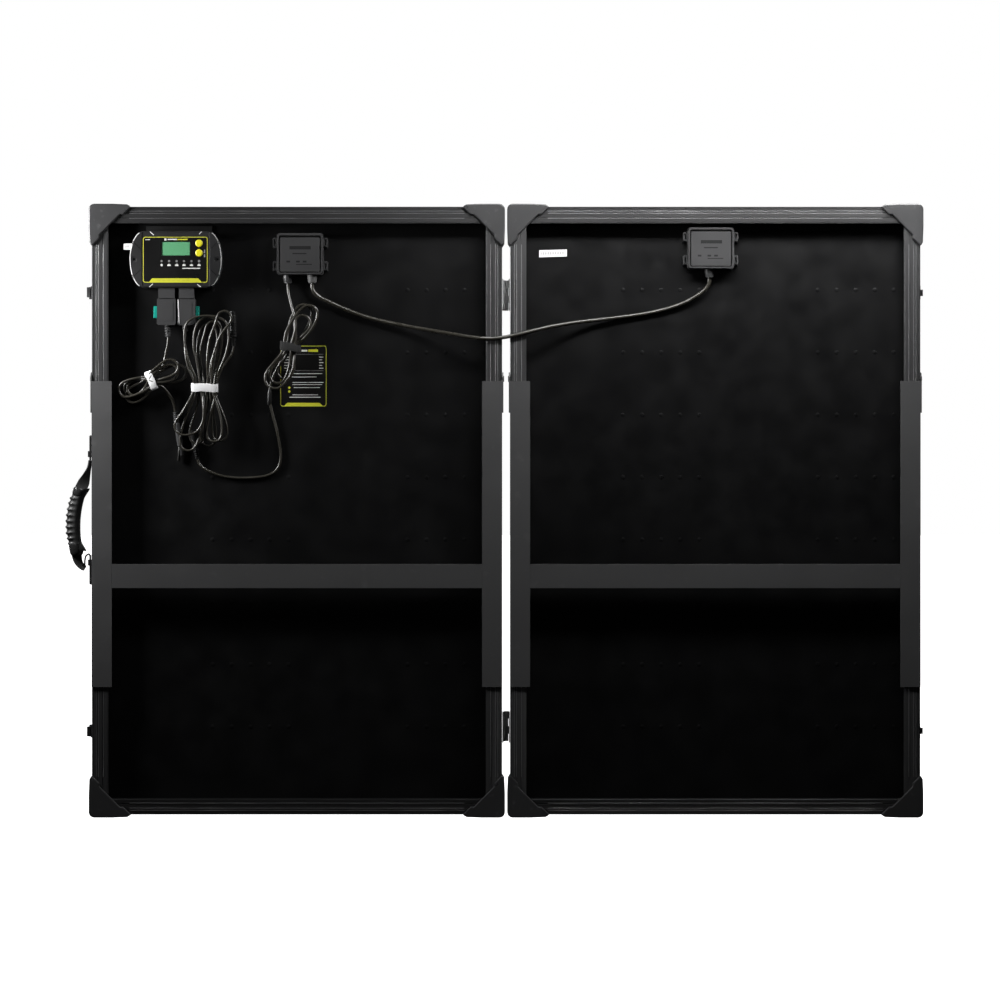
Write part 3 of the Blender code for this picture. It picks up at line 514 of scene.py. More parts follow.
# ---------------------------------------------------------------- cords
LINK_ROUTE = [
    (-320, 2.5, 879.8), (-320, 2.5, 869), (-311, 3.5, 859.5), (-289.7, 5, 848.7), (-256.8, 6, 834),
    (-218, 6, 821.3), (-174.5, 4, 811.5), (-130, -1.5, 803.2), (-95, -9.5, 796.8),
    (-65, -17.5, 791.3), (-42.9, -21.2, 788.3), (-20, -21.8, 787.8), (0, -21.8, 790.2),
    (20, -21.8, 794.4), (42.9, -21.2, 800.2), (70, -16.5, 806.8), (105, -6.5, 813.6),
    (150, 2, 819.6), (200, 6, 825.8), (236, 6.5, 831.3), (262, 6.2, 837.2), (286, 5.5, 844.8),
    (304, 4.6, 852.8), (319.5, 3.6, 862.6), (330.5, 2.8, 871.5), (336, 2.5, 881), (336, 2.5, 889.6),
]


class Hank:
    """A lead wound up and down through a tie. Places are across and along the tied bundle."""

    def __init__(self, middle, tilt, half_tie):
        self.middle = middle
        self.tilt = math.radians(tilt)
        self.half_tie = half_tie

    def place(self, across, depth, along):
        turn_x = math.cos(self.tilt)
        turn_z = math.sin(self.tilt)
        x = self.middle[0] + across * turn_x + along * turn_z
        z = self.middle[1] - across * turn_z + along * turn_x
        return at(x, depth, z)

    def route(self, passes, lobes):
        """passes: across at the top, across at the bottom, depth. lobes: depth, then its places."""
        places = []
        for number, (top, bottom, depth) in enumerate(passes):
            through = [(top, depth, self.half_tie), (bottom, depth, -self.half_tie)]
            if number % 2:
                through.reverse()
            places += [self.place(*p) for p in through]
            if number < len(lobes):
                lobe_depth, points = lobes[number]
                places += [self.place(across, lobe_depth, along) for across, along in points]
        return places


def arc(x, z, radius, start, end):
    """Places round part of a circle, from one angle to another in degrees."""
    steps = max(2, round(abs(end - start) / 40))
    angles = [math.radians(start + (end - start) * i / steps) for i in range(steps + 1)]
    return [(x + radius * math.cos(angle), z + radius * math.sin(angle)) for angle in angles]


OUTPUT_HANK = Hank((-496.4, 707), 0, 8)
OUTPUT_START = [
    (-529, -4, 800), (-529.2, -6, 790), (-529, -11.5, 772), (-523, -15, 740),
]
OUTPUT_PASSES = [
    (-17, -19.3, -13.5), (-1, -2.5, -13.5), (7.5, 6.5, -8.5), (12, 11.5, -8.5), (-4.5, -9, -9.5),
    (5, 2.5, -13.5), (10.8, 9, -13.5), (17.5, 17, -8.5), (-13, -14.5, -12.5), (-7.5, -5, -14.5),
    (16, 13.8, -13.5), (20, 18.5, -12.5),
]
OUTPUT_LOBES = [
    (-18.2, [(-29, -28), (-40, -46), *arc(-33.5, -62.5, 16, 165, 285), (-14, -74), (-3, -57), (-1, -34)]),
    (-10, [(-6, 38), (-7, 64), *arc(14, 97, 13.5, 190, -15), (20, 72), (10, 40)]),
    (-6.5, [(3, -38), (-5, -64), *arc(5.5, -84, 12.5, 175, 365), (17, -60), (13.5, -34)]),
    (-6, [(17, 42), (20, 68), *arc(5.5, 93, 13.5, 0, 180), (-13, 70), (-11, 44)]),
    (-10, [(-15, -40), (-23, -62), *arc(-13, -80, 12.5, 175, 365), (-0.5, -56), (1.5, -32)]),
    (
        -17.5,
        [
            *[(4.5, 42), (6, 66), (11, 88), (18, 105)],
            *arc(33, 114.5, 12.5, 140, -50),
            *[(30, 92), (19, 68), (13, 44)],
        ],
    ),
    (-9.5, [(11, -30), (12, -54), *arc(24.5, -76, 12.5, 178, 362), (34, -54), (24, -28)]),
    (
        -16.5,
        [(25, 30), (35, 55), *arc(19, 96, 21, -10, 90), (-5, 118), *arc(-14, 96, 19, 110, 190), (-25, 42)],
    ),
    (-14, [(-23, -30), (-33, -54), (-39, -76), *arc(-27, -91, 13.5, 180, 345), (-7, -76), (-2, -48)]),
    (-13.5, [(-12, 40), (-18, 66), (-17.5, 88), *arc(6.5, 97, 20.5, 150, 15), (29, 84), (26, 58), (20, 30)]),
    (-13.5, [(20, -26), (27, -50), *arc(16, -77, 12.5, 10, -188), (6, -54), (13, -31)]),
]
OUTPUT_END = [(-472, -12, 731), (-461, -10, 750), (-450.5, -8, 766), (-449, -8, 776)]

INPUT_HANK = Hank((-584.6, 719.2), 66, 6)
INPUT_START = [
    (-557, -4, 790), (-557.6, -4, 781), (-560.5, -3, 768), (-564.5, -1.5, 750), (-571, -2.5, 734),
]
INPUT_PASSES = [
    (-2, -8, -4), (-5, 9, -8.5), (12, 13, -4), (-13, -6.5, -12), (2.5, -10, -8.5),
    (-8.5, 0.5, -12.5), (7, -4.5, -12.5), (11, 8.5, -8.5),
]
INPUT_LOBES = [
    (-11.5, [(-13, -20), *arc(-3, -43, 13.5, 170, 365), (11.5, -22)]),
    (-4, [(-8, 24), *arc(5.7, 45.5, 13.8, 180, -10), (15.5, 22)]),
    (-5.5, [(19, -18), *arc(9.5, -37, 13.5, 5, -185), (-4.5, -18)]),
    (-11.5, [(-17, 20), *arc(-7, 38.5, 13.5, 180, 0), (5, 20)]),
    (-3, [(-13, -20), *arc(-2.5, -35, 13.5, 180, 360), (7, -17)]),
    (-8.5, [(-12, 20), *arc(0, 34.5, 13.5, 180, 0), (11, 18)]),
    (-7.5, [(-10, -16), *arc(0, -30, 13.5, 185, 355), (10, -15)]),
]
INPUT_END = [
    (-567, -6.5, 710), (-559.5, -2.5, 701), (-552, 2, 690), (-547.9, 5, 678), (-546.6, 5.6, 668.6),
]

BOX_HANK = Hank((-355.2, 774), 0, 7)
BOX_START = [
    (-360, 2.5, 879.9), (-360, 2.5, 869), (-357.4, -1, 856), (-352.5, -6, 838), (-347.5, -9.5, 820),
    (-346.6, -10.5, 805), (-350, -11, 792),
]
BOX_PASSES = [
    (2.2, 1, -10.8), (-6, -8.4, -10), (9.5, 6.6, -6), (-10.5, -13.2, -9), (14, -3.5, -4.5),
    (7.5, 3.5, -10), (4, -10, -2.5),
]
BOX_LOBES = [
    (-6, [(-1, -24), *arc(-21.5, -46, 14, -10, -200), (-20, -22)]),
    (-4.5, [(-5, 23), (-2, 40), *arc(21, 57, 14.5, 160, -25), (20, 22)]),
    (-10.5, [(6, -23), (3, -40), *arc(-25, -51.5, 17.5, -25, -195), (-27, -25)]),
    (-9.5, [(-8, 24), (1, 41), (11, 56), *arc(31, 55.5, 14.3, 125, -25), (27, 20)]),
    (-1.5, [(-12, -22), *arc(-9.5, -39, 14, 175, 350), (4.5, -22)]),
    (-9.5, [(9, 20), *arc(20, 39.5, 14, 185, -15), (21, 20)]),
]
BOX_END = [
    (-372.5, 3, 750), (-383.5, 7, 730), (-389.5, 7.6, 712), (-391.5, 7.8, 690), (-387, 8.2, 668),
    (-380, 8.4, 642), (-374.5, 8.6, 614), (-372.5, 8.6, 592), (-378, 8.6, 573), (-392, 8.6, 563.5),
    (-415, 8.6, 559.5), (-440, 8.6, 558.8), (-465, 8.6, 561), (-486, 8.2, 567.5), (-502, 7.2, 576),
    (-508.3, 6.2, 583), (-509.6, 6, 589.3),
]


LINK_DIAMETER = 0.0063


def lead(name, hank, start, passes, lobes, end, **cord):
    """A lead wound into its hank, from the place where it leaves its box or plug."""
    places = [at(*p) for p in start]
    places += hank.route(passes, lobes)
    places += [at(*p) for p in end]
    data = curve_data(name, eased(smooth_route(places)), cord["diameter"] / 2)
    data.materials.append(JACKET)
    obj = bpy.data.objects.new(name, data)
    bpy.context.scene.collection.objects.link(obj)
    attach(obj, LEFT)
    return obj


def link_cable():
    route = eased(smooth_route([at(*p) for p in LINK_ROUTE]))
    mesh = meshed(curve_data("link_cable", route, LINK_DIAMETER / 2))
    mesh.materials.append(JACKET)
    mesh.shade_smooth()
    obj = bpy.data.objects.new("link_cable", mesh)
    bpy.context.scene.collection.objects.link(obj)
    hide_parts("link_cable_left", "link_cable_right")
    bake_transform(obj)


def tie(name, hank, half_across, half_deep, depth, width, material, lean=0.0, taper=0.0):
    """A strap wrapped round a hank's middle, its end lapped over itself."""
    thickness = 1.1
    turns = 1.3
    lap_from = 0.92
    unevenness = 0.25
    squareness = 0.62
    stations = 64
    rows = []
    for step in range(stations + 1):
        turn = turns * step / stations
        angle = 2 * math.pi * turn + math.radians(200)
        grow = thickness * min(1.0, max(0.0, (turn - lap_from) / 0.1)) + unevenness * RNG.random()
        across = math.copysign(abs(math.cos(angle)) ** squareness, math.cos(angle))
        deep = math.copysign(abs(math.sin(angle)) ** squareness, math.sin(angle))
        u = across * (half_across + grow)
        v = depth - deep * (half_deep + grow)
        shift = u * math.tan(math.radians(lean)) + 0.5 * math.sin(5 * angle)
        middle = hank.place(u, v, shift)
        along = (hank.place(u, v, shift + 1) - middle).normalized()
        outward = (middle - hank.place(0, depth, shift)).normalized()
        rows.append(strap_row(middle, along, outward, width * (1 - taper * (across + 1) / 2), thickness))
    return loft(name, rows, material, LEFT)


CONNECTOR_NOSE = [(0, 0), (5.3, 0), (5.3, 5.5), (4.4, 6.3), (4.4, 9.4), (3.9, 9.8), (0, 9.8)]
BARREL = [(0, 0), (3.3, 0), (3.3, 1.5), (2.9, 2), (2.9, 26), (2.6, 26.6), (1.3, 26.6), (1.3, 20), (0, 20)]
LEAD_JOINT = [(0, 0), (2.35, 0), (3.3, 5), (3.6, 8), (3.6, 21), (3.0, 24), (2.3, 26), (0, 26)]


def lead_pieces():
    """The ties, ribs and moulded joints on the three leads, by the lead they are on."""

    def fitting(name, start, end, profile, material):
        return turned(name, [(start, end)], profile, material, LEFT)

    fitting("input_relief", (-557.8, -4, 811.3), (-557.0, -4, 790.0), ribbed(21.0, 5, 6.1, 4.9, 1.8), PLUG)
    fitting("output_relief", (-529.0, -4, 811.3), (-529.0, -4, 800.0), ribbed(11.2, 3, 6.1, 5.2, 1.8), PLUG)
    grip_ribs = ribbed(27, 6, 6.5, 6.5, 0.9)
    output = [
        tie("output_tie", OUTPUT_HANK, 21.4, 5.4, -11.4, 13.4, WHITE_STRAP, lean=-2),
        fitting("output_connector_grip", (-449.2, -8, 790.0), (-450.5, -8, 828.0), grip_ribs, MOULDED),
        fitting("output_connector_nose", (-450.4, -8, 824.0), (-450.8, -8, 840.0), CONNECTOR_NOSE, MOULDED),
    ]
    plug_ribs = ribbed(17, 5, 4.1, 5.2, 0.9)
    input_pieces = [
        tie("input_tie", INPUT_HANK, 15.6, 6.2, -8.2, 11.5, WHITE_STRAP),
        fitting("input_plug_ribs", (-546.6, 5.6, 667.6), (-536.0, 5.8, 596.0), plug_ribs, PLUG),
        fitting("input_plug_barrel", (-538.6, 5.75, 613.5), (-541.0, 5.6, 586.0), BARREL, BRIGHT),
    ]
    socket_ribs = ribbed(18, 5, 3.6, 5.2, 0.8)
    box = [
        tie("box_tie", BOX_HANK, 16.4, 6.4, -6.6, 15.5, BLACK_STRAP, lean=-10, taper=0.25),
        fitting("box_lead_joint", (-390.6, 7.7, 705.0), (-391.7, 7.8, 679.0), LEAD_JOINT, MOULDED),
        fitting("box_lead_socket_ribs", (-509.8, 6.0, 590.0), (-519.0, 5.6, 637.0), socket_ribs, MOULDED),
    ]
    return {
        "output": [*output, "output_connector"],
        "input": [*input_pieces, "input_plug"],
        "box": [*box, "box_lead_socket"],
    }


def leads():
    pieces = lead_pieces()
    obj = lead(
        "output_lead",
        *(OUTPUT_HANK, OUTPUT_START, OUTPUT_PASSES, OUTPUT_LOBES, OUTPUT_END),
        length=2.7,
        diameter=0.0038,
        far_end="connector",
        with_pieces=pieces["output"],
    )
    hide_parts("output_hank")
    obj = lead(
        "input_lead_wound",
        *(INPUT_HANK, INPUT_START, INPUT_PASSES, INPUT_LOBES, INPUT_END),
        length=1.0,
        diameter=0.0043,
        far_end="plug",
        with_pieces=pieces["input"],
    )
    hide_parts("input_lead", "input_hank")
    obj = lead(
        "box_lead_wound",
        *(BOX_HANK, BOX_START, BOX_PASSES, BOX_LOBES, BOX_END),
        length=1.4,
        diameter=0.0045,
        far_end="connector",
        with_pieces=pieces["box"],
    )
    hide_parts("box_lead", "box_hank")


# ---------------------------------------------------------------- charge controller
CONTROL_X = -544.0
CONTROL_Z = 918.5
COVER_BACK = -14.5
LABEL_BACK = -14.7
WING_MIDDLE = 52.5
BUTTON_X = -505.3
BUTTON_BACK = -13.3
BUTTONS = (("upper", 945), ("lower", 929))
LAMPS = (-567.0, -554.7, -542.2, -530.1, -517.8, -505.3)
LAMP_Z = 915.4


def wing_arc(side, across, up, low, high, steps):
    """Places round the controller's half-elliptical end, from one angle to another in degrees."""
    angles = [math.radians(low + (high - low) * i / steps) for i in range(steps + 1)]
    middle = CONTROL_X + side * WING_MIDDLE
    return [(middle + side * across * math.cos(a), CONTROL_Z + up * math.sin(a)) for a in angles]


def wing_outline(side):
    """The bumper at one end of the controller, from the label's edge out to the rounded end."""
    inner = [(CONTROL_X + side * 56, CONTROL_Z + up) for up in (30, 12, -12, -30)]
    return [*wing_arc(side, 21.8, 45, -84, 84, 16), *inner]


def controller():
    for side, name in ((-1, "left"), (1, "right")):
        hole = (CONTROL_X + side * 68.6, CONTROL_Z)
        wing = wing_outline(side)
        flat(f"controller_wing_{name}", [wing, circle(*hole, 4.7)], -15.3, -14.3, CASE, LEFT, 0.4)
        # Near-black bars where each wing meets the raised band paint the shade in the creases.
        near, far = CONTROL_X + side * 57.5, CONTROL_X + side * 71
        creases = [bar((near, CONTROL_Z + 17 * up), (far, CONTROL_Z + 30 * up), 1.0) for up in (-1, 1)]
        flat(f"controller_crease_shade_{name}", creases, -15.5, -15.2, LABEL, LEFT)
        # The screw heads are near-black to paint the shade in the screw holes.
        turned(
            f"controller_screw_{name}",
            [((hole[0], -11.5, hole[1]), (hole[0], -15, hole[1]))],
            [(0, 0), (4.3, 0), (4.3, 1.2), (3.4, 2.1), (1.4, 2.3), (1.4, 1.0), (0, 1.0)],
            LABEL,
            LEFT,
        )
        # Light-grey tubes round each rounded end are a painted highlight along the cover's edge.
        for number, (low, high) in enumerate(((-72, -37), (-33, 33), (37, 72))):
            edge = [(x, -13.6, z) for x, z in wing_arc(side, 22.2, 45.6, low, high, 12)]
            tube(f"controller_rim_{name}_{number}", edge, 1.0, PAINTED_HIGHLIGHT_GREY, LEFT)

    label = rounded(CONTROL_X - 0.5, 917.8, 106.5, 75.4, 4)
    window = [(-567.2, 924.4), (-519.9, 924.4), (-519.9, 947.6), (-567.2, 947.6)]
    holes = [circle(BUTTON_X, height, 6.5) for _, height in BUTTONS]
    flat("controller_label", [label, window, *holes], LABEL_BACK, COVER_BACK, LABEL, LEFT)
    inner = rounded(CONTROL_X - 0.5, 917.8, 104.1, 73.0, 3)
    flat("controller_label_line", [label, inner], LABEL_BACK - 0.1, LABEL_BACK, INK_LINE, LEFT)
    band = [(-588.0, 880.6), (-501.0, 880.6), (-506.5, 887.2), (-582.5, 887.2)]
    flat("controller_label_band", [band], LABEL_BACK - 0.12, LABEL_BACK, INK_YELLOW, LEFT)
    dashes = [bar((x, 883.9), (x + 5.2, 883.9), 1.1) for x in range(-574, -518, 8)]
    flat("controller_band_dashes", dashes, LABEL_BACK - 0.2, LABEL_BACK - 0.1, INK_LINE, LEFT)
    marks = [
        bar((-562.5, 951.2), (-559.0, 951.2), 3.4),
        bar((-557.0, 951.2), (-541.5, 951.2), 2.0),
        bar((-594.0, 950.8), (-586.0, 950.8), 1.0),
        bar((-532.8, 903.6), (-503.6, 903.6), 1.5),
    ]
    flat("controller_marks", marks, LABEL_BACK - 0.1, LABEL_BACK, INK_WHITE, LEFT)
    mark = [bar((-540.5, 951.2), (-524.0, 951.2), 2.0)]
    flat("controller_mark_yellow", mark, LABEL_BACK - 0.1, LABEL_BACK, INK_YELLOW, LEFT)
    side_marks = [bar((-496.3, 934.5), (-496.3, 928.5), 2.2), bar((-496.3, 926.8), (-496.3, 922.0), 2.2)]
    flat("controller_side_marks", side_marks, LABEL_BACK - 0.1, LABEL_BACK, INK_GREY, LEFT)

    turned(
        "controller_lamps",
        [((x, -14.3, LAMP_Z), (x, -20, LAMP_Z)) for x in LAMPS],
        [(0, 0), (1.9, 0), (1.9, 0.7), (1.3, 0.75), (1.2, 0.5), (0.7, 0.75), (0, 0.85)],
        INK_GREY,
        LEFT,
        16,
    )
    icons = [circle(LAMPS[0], 909.0, 2.1, 12)]
    icons += [bar((x - 2.6, 908.6), (x + 2.6, 908.6), 2.4) for x in LAMPS[1:]]
    icons += [bar((x - 1.4, 910.5), (x + 1.4, 910.5), 0.9) for x in LAMPS[1:]]
    flat("controller_icons", icons, LABEL_BACK - 0.1, LABEL_BACK, INK_WHITE, LEFT)
    for place, height in BUTTONS:
        body = f"button_{place}"
        ring = [circle(BUTTON_X, height, 2.6), circle(BUTTON_X, height, 1.7)]
        tick = bar((BUTTON_X, height + 0.4), (BUTTON_X, height + 3.4), 0.9)
        flat(f"button_ring_{place}", ring, BUTTON_BACK - 0.15, BUTTON_BACK, INK_OLIVE, body)
        flat(f"button_tick_{place}", [tick], BUTTON_BACK - 0.2, BUTTON_BACK - 0.05, INK_OLIVE, body)

    # The light-grey ticks at the label's corners are painted highlights where the raised band meets the
    # wings.
    ticks = [
        bar((-586.2, 963.8), (-580.0, 958.4), 1.4),
        bar((-501.0, 963.8), (-505.4, 959.8), 1.4),
        bar((-587.2, 872.8), (-581.2, 878.2), 1.4),
        bar((-502.4, 872.8), (-508.4, 877.6), 1.4),
    ]
    flat("controller_ticks", ticks, -14.9, -14.4, PAINTED_HIGHLIGHT_GREY, LEFT, 0.2)
    tag = [(-630.2, 934.8), (-612.0, 934.6), (-612.0, 945.0), (-629.8, 944.8)]
    flat("hanging_tag", [tag], -10.0, -9.8, PAPER, LEFT)
    tag_marks = [bar((-627.8, z), (-621.0, z), 0.9) for z in (937.4, 939.8, 942.2)]
    flat("hanging_tag_marks", tag_marks, -10.07, -10.0, INK_GREY, LEFT)

    for name, low, high in (("input", -571.3, -545.0), ("output", -540.8, -514.4)):
        # A near-black bar across each plug block at its step paints the shade under the step.
        seam = [(low, 853.2), (high, 853.2), (high, 854.6), (low, 854.6)]
        flat(f"plug_step_shade_{name}", [seam], -12.6, -12.3, LABEL, LEFT)
        pad = rounded((low + high) / 2, 832.5, (high - low) - 6, 31, 2)
        flat(f"plug_pad_{name}", [pad], -12.9, -12.4, PLUG, LEFT, 0.25)
    # The light-grey strip down the output plug's left edge is a painted highlight.
    flat("plug_edge_light", [bar((-539.9, 852.5), (-538.3, 813.0), 1.5)], -13.3, -12.7, PAINTED_HIGHLIGHT_GREY, LEFT, 0.3)


# ---------------------------------------------------------------- junction boxes and labels
SHEET_BACK = 11.3
GLAND_NUT = [(0, 0), (8.3, 0), (8.3, 6.2), (7.6, 7), (7.2, 11.6), (6.4, 12.8)]
GLAND_NUT += [(5.2, 13.2), (5.2, 11), (0, 11)]


def box_detail(name, x, z, body, glands):
    """What stands on one junction box: its lid's rim, plain marks, hinge clips and cable glands."""
    rim = rounded(x, z, 74.6, 67.0, 5.6)
    groove = rounded(x, z - 0.4, 69.8, 61.4, 3.6)
    panel = rounded(x, z - 1.4, 65.2, 56.2, 2.4)
    # A near-black plate on the groove's floor paints the shade in the groove.
    flat(f"box_{name}_groove", [groove], -9.06, -8.9, LABEL, body)
    flat(f"box_{name}_rim", [rim, groove], -11.2, -8.9, BOX, body, 0.6)
    flat(f"box_{name}_panel", [panel], -10.9, -8.9, BOX, body, 0.5)
    flat(f"box_{name}_mark", [bar((x - 17, z + 9.8), (x + 18, z + 9.8), 5.6)], -11.0, -10.88, BOX_MARK, body)
    marks = [bar((x - 12, z + 0.2), (x + 11, z + 0.2), 1.9)]
    marks.append(bar((x - 6, z - 17.6), (x + 20, z - 17.6), 1.5))
    marks += [bar((x + across - 3, z - 13), (x + across + 3, z - 13), 3.0) for across in (-19, -3, 8)]
    flat(f"box_{name}_marks", marks, -11.0, -10.88, BOX_MARK, body)
    for side, edge in ((-1, "left"), (1, "right")):
        for low, high, place in ((-26.5, -11.5, "low"), (12.0, 27.0, "high")):
            middle = z + (low + high) / 2
            clip = rounded(x + side * 41.6, middle, 7.2, high - low, 2.2)
            slot = rounded(x + side * 41.6, middle, 2.6, high - low - 5.4, 1.0)
            flat(f"box_{name}_clip_{place}_{edge}", [clip, slot], -2.5, 6.4, BOX, body, 0.5)
    for number, (outlet, material) in enumerate(glands):
        bottom = z - 34.5
        ends = ((outlet, 2.5, bottom + 0.3), (outlet, 2.5, bottom - 13))
        turned(f"box_{name}_gland_{number}", [ends], GLAND_NUT, material, body, 12)


def back_labels():
    """The rating label and the white sticker on the back sheets, with plain bars in place of text."""
    sheet = SHEET_BACK
    x, z = -335.2, 727.3
    label = rounded(x, z, 76.2, 100.5, 4)
    flat("rating_label", [label], sheet - 0.16, sheet - 0.01, LABEL, LEFT)
    inner = rounded(x, z, 74.0, 98.3, 3)
    face = sheet - 0.16
    line = sheet - 0.26
    flat("rating_label_line", [label, inner], line, face, INK_LINE, LEFT)
    band = [(x - 32, z - 49.3), (x + 32, z - 49.3), (x + 26.5, z - 44.2), (x - 26.5, z - 44.2)]
    flat("rating_label_band", [band], line - 0.02, face, INK_YELLOW, LEFT)
    flat("rating_label_title", [bar((x + 8, z + 42), (x + 24, z + 42), 4)], line, face, INK_YELLOW, LEFT)
    lines = [bar((x - 3, z + 42), (x + 6.5, z + 42), 3)]
    for row, right in enumerate((-22, -16, -24, -20, -25)):
        height = z + 31.5 - 4.6 * row
        lines.append(bar((x - 32, height), (x + right, height), 1.3))
        lines.append(bar((x + 26, height), (x + 33 - row % 2 * 2, height), 1.3))
    paragraphs = ((4, -30, 31), (-1.5, -30, 22), (-10.5, -18, 33), (-14, -18, 31), (-19, -16, 27))
    for height, left, right in paragraphs:
        lines.append(bar((x + left, z + height), (x + right, z + height), 1.2))
    lines += [bar((x - 18, z - 31), (x + 24, z - 31), 1.0), bar((x - 23, z - 35), (x + 28, z - 35), 1.4)]
    flat("rating_label_lines", lines, line, face, INK_WHITE, LEFT)
    rules = [bar((x - 33, z + 36), (x + 33, z + 36), 0.5), bar((x - 33, z + 9), (x + 33, z + 9), 0.5)]
    flat("rating_label_rules", rules, line, face, INK_GREY, LEFT)
    dots = [circle(x - 23.5, z - 19, 2, 12), circle(x - 23.5, z - 25.5, 2, 12)]
    flat("rating_label_dots", dots, line, face, INK_YELLOW, LEFT)

    middle = (77.8, 930.4)
    slope = math.tan(math.radians(1.6))
    corners = ((-23, -5.8), (23, -5.8), (23, 5.8), (-23, 5.8))
    sticker = [(middle[0] + u, middle[1] + v + u * slope) for u, v in corners]
    flat("sticker", [sticker], sheet - 0.15, sheet - 0.01, PAPER, RIGHT)
    bars = []
    for number in range(14):
        u = -18.5 + 2.8 * number
        top = (middle[0] + u, middle[1] + 2.4 + u * slope)
        bars.append(bar(top, (top[0], top[1] - 4.4), 1.1))
    flat("sticker_bars", bars, sheet - 0.22, sheet - 0.15, INK_GREY, RIGHT)


# ---------------------------------------------------------------- back sheets and glass
CELL_COLUMNS = 4
CELL_ROWS = 9
CELL_PITCH = (161.0, 103.2)
CELL_SIZE = (157.0, 99.6)
BUSBARS = (-62.8, -31.4, 0.0, 31.4, 62.8)
BUMP_COLUMNS = (1, 3)


PANEL_MIDDLE = (344.0, 504.7)


def cells(side, name, body, shift):
    """Cells under the glass, with their busbars, and the low bumps these raise in the back sheet.

    The bumps stand between the cells of every other column, shift off the middle.
    """
    x, z = side * PANEL_MIDDLE[0], PANEL_MIDDLE[1]
    backing = rounded(x, z, 658, 983, 2)
    flat(f"{name}_glass", [backing], 15.70, 15.76, GLASS, body)
    outlines = []
    wires = []
    columns = [x + (column - (CELL_COLUMNS - 1) / 2) * CELL_PITCH[0] for column in range(CELL_COLUMNS)]
    half = CELL_ROWS * CELL_PITCH[1] / 2 - 1.5
    for cell_x in columns:
        for row in range(CELL_ROWS):
            cell_z = z + (row - (CELL_ROWS - 1) / 2) * CELL_PITCH[1]
            outlines.append(chamfered(cell_x, cell_z, *CELL_SIZE, 7))
        for busbar in BUSBARS:
            wires.append(bar((cell_x + busbar, z - half), (cell_x + busbar, z + half), 1.5))
    across = CELL_COLUMNS * CELL_PITCH[0] / 2 - 20
    for end in (-1, 1):
        height = z + end * (CELL_ROWS * CELL_PITCH[1] / 2 + 1.5)
        wires.append(bar((x - across, height), (x + across, height), 4))
    flat(f"{name}_cells", outlines, 15.76, 15.80, CELL, body)
    flat(f"{name}_busbars", wires, 15.80, 15.84, RIBBON, body)
    bumps = []
    for column in BUMP_COLUMNS:
        middle = columns[column] + shift
        for row in range(1, CELL_ROWS):
            height = z + 3.6 + (row - CELL_ROWS / 2) * CELL_PITCH[1]
            for busbar in BUSBARS:
                bumps.append(((middle + busbar, SHEET_BACK + 0.1, height), (middle + busbar, 0, height)))
    bump = [(0, 0), (4.2, 0), (3.2, 0.28), (1.7, 0.5), (0, 0.58)]
    turned(f"{name}_sheet_bumps", bumps, bump, SHEET, body, 14)


def chamfered(x, z, width, height, cut):
    """The outline of a rectangle with its corners cut off, about its middle."""
    left, right, bottom, top = x - width / 2, x + width / 2, z - height / 2, z + height / 2
    return [
        (left + cut, bottom),
        (right - cut, bottom),
        (right, bottom + cut),
        (right, top - cut),
        (right - cut, top),
        (left + cut, top),
        (left, top - cut),
        (left, bottom + cut),
    ]


def sheet_ridge():
    """The low wavy fold that runs along the right back sheet beside its junction box."""
    start, spacing, steps = 386.0, 4.8, 51
    places = []
    for step in range(steps + 1):
        x = start + spacing * step
        places.append((x, SHEET_BACK + 0.2, 967.0 + 1.6 * math.sin(x / 17) + 0.9 * math.sin(x / 7.3)))
    factors = [min(1.0, 0.15 + step / 12, 0.15 + (steps - step) / 12) for step in range(steps + 1)]
    tube("sheet_ridge", places, 1.3, SHEET, RIGHT, factors)


# ---------------------------------------------------------------- handle, latches and hinges
GRIP_RIBS = (524.5, 515.2, 505.9, 496.6, 487.3, 478.0, 468.6, 459.2, 450.0)
PIN_X = -686.4


def grip():
    """The rubber grip, ribbed where the fingers go, with a softer seam along its side."""
    route = [(-702.5, 540.5), (-706.5, 531.0), (-711.2, 515.0), (-714.2, 498.0), (-715.2, 481.2)]
    route += [(-714.4, 464.0), (-711.5, 449.0), (-708.0, 439.5)]
    points = smooth_route([at(x, 0, z) for x, z in route], 0.0011)
    rows = []
    for i, middle in enumerate(points):
        share = i / (len(points) - 1)
        ahead = points[min(i + 1, len(points) - 1)] - points[max(i - 1, 0)]
        inward = Vector((ahead.z, 0, -ahead.x)).normalized()
        if inward.x < 0:
            inward.negate()
        height = middle.z / MM
        size = 10.4 + 2.2 * math.sin(math.pi * share) ** 0.5
        near = min(abs(height - rib) for rib in GRIP_RIBS)
        end = 2 * share - 1
        lean = math.copysign(0.5 * max(0.0, abs(end) - 0.5) / 0.5, end)
        wave = math.exp(-((near / 2.1) ** 2))
        ring = []
        for step in range(32):
            angle = 2 * math.pi * step / 32
            outside = min(1.0, max(0.0, 0.35 - math.cos(angle)) ** 0.7)
            flare = max(0.0, math.cos(angle)) ** 2 * 3.6 * max(0.0, abs(end) - 0.72) / 0.28
            seam = 0.7 * math.exp(-(((math.degrees(angle) - 270) / 7) ** 2))
            radius = size + flare - 2.5 * outside * (1 - wave) - seam
            across = radius * math.cos(angle) * MM
            level = radius * math.sin(angle) * 0.92 * MM
            tilt = ahead.normalized() * (across * lean)
            ring.append(middle + inward * across + Vector((0, level, 0)) + tilt)
        rows.append(ring)
    obj = loft("grip", rows, RUBBER, "handle")
    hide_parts("handle")


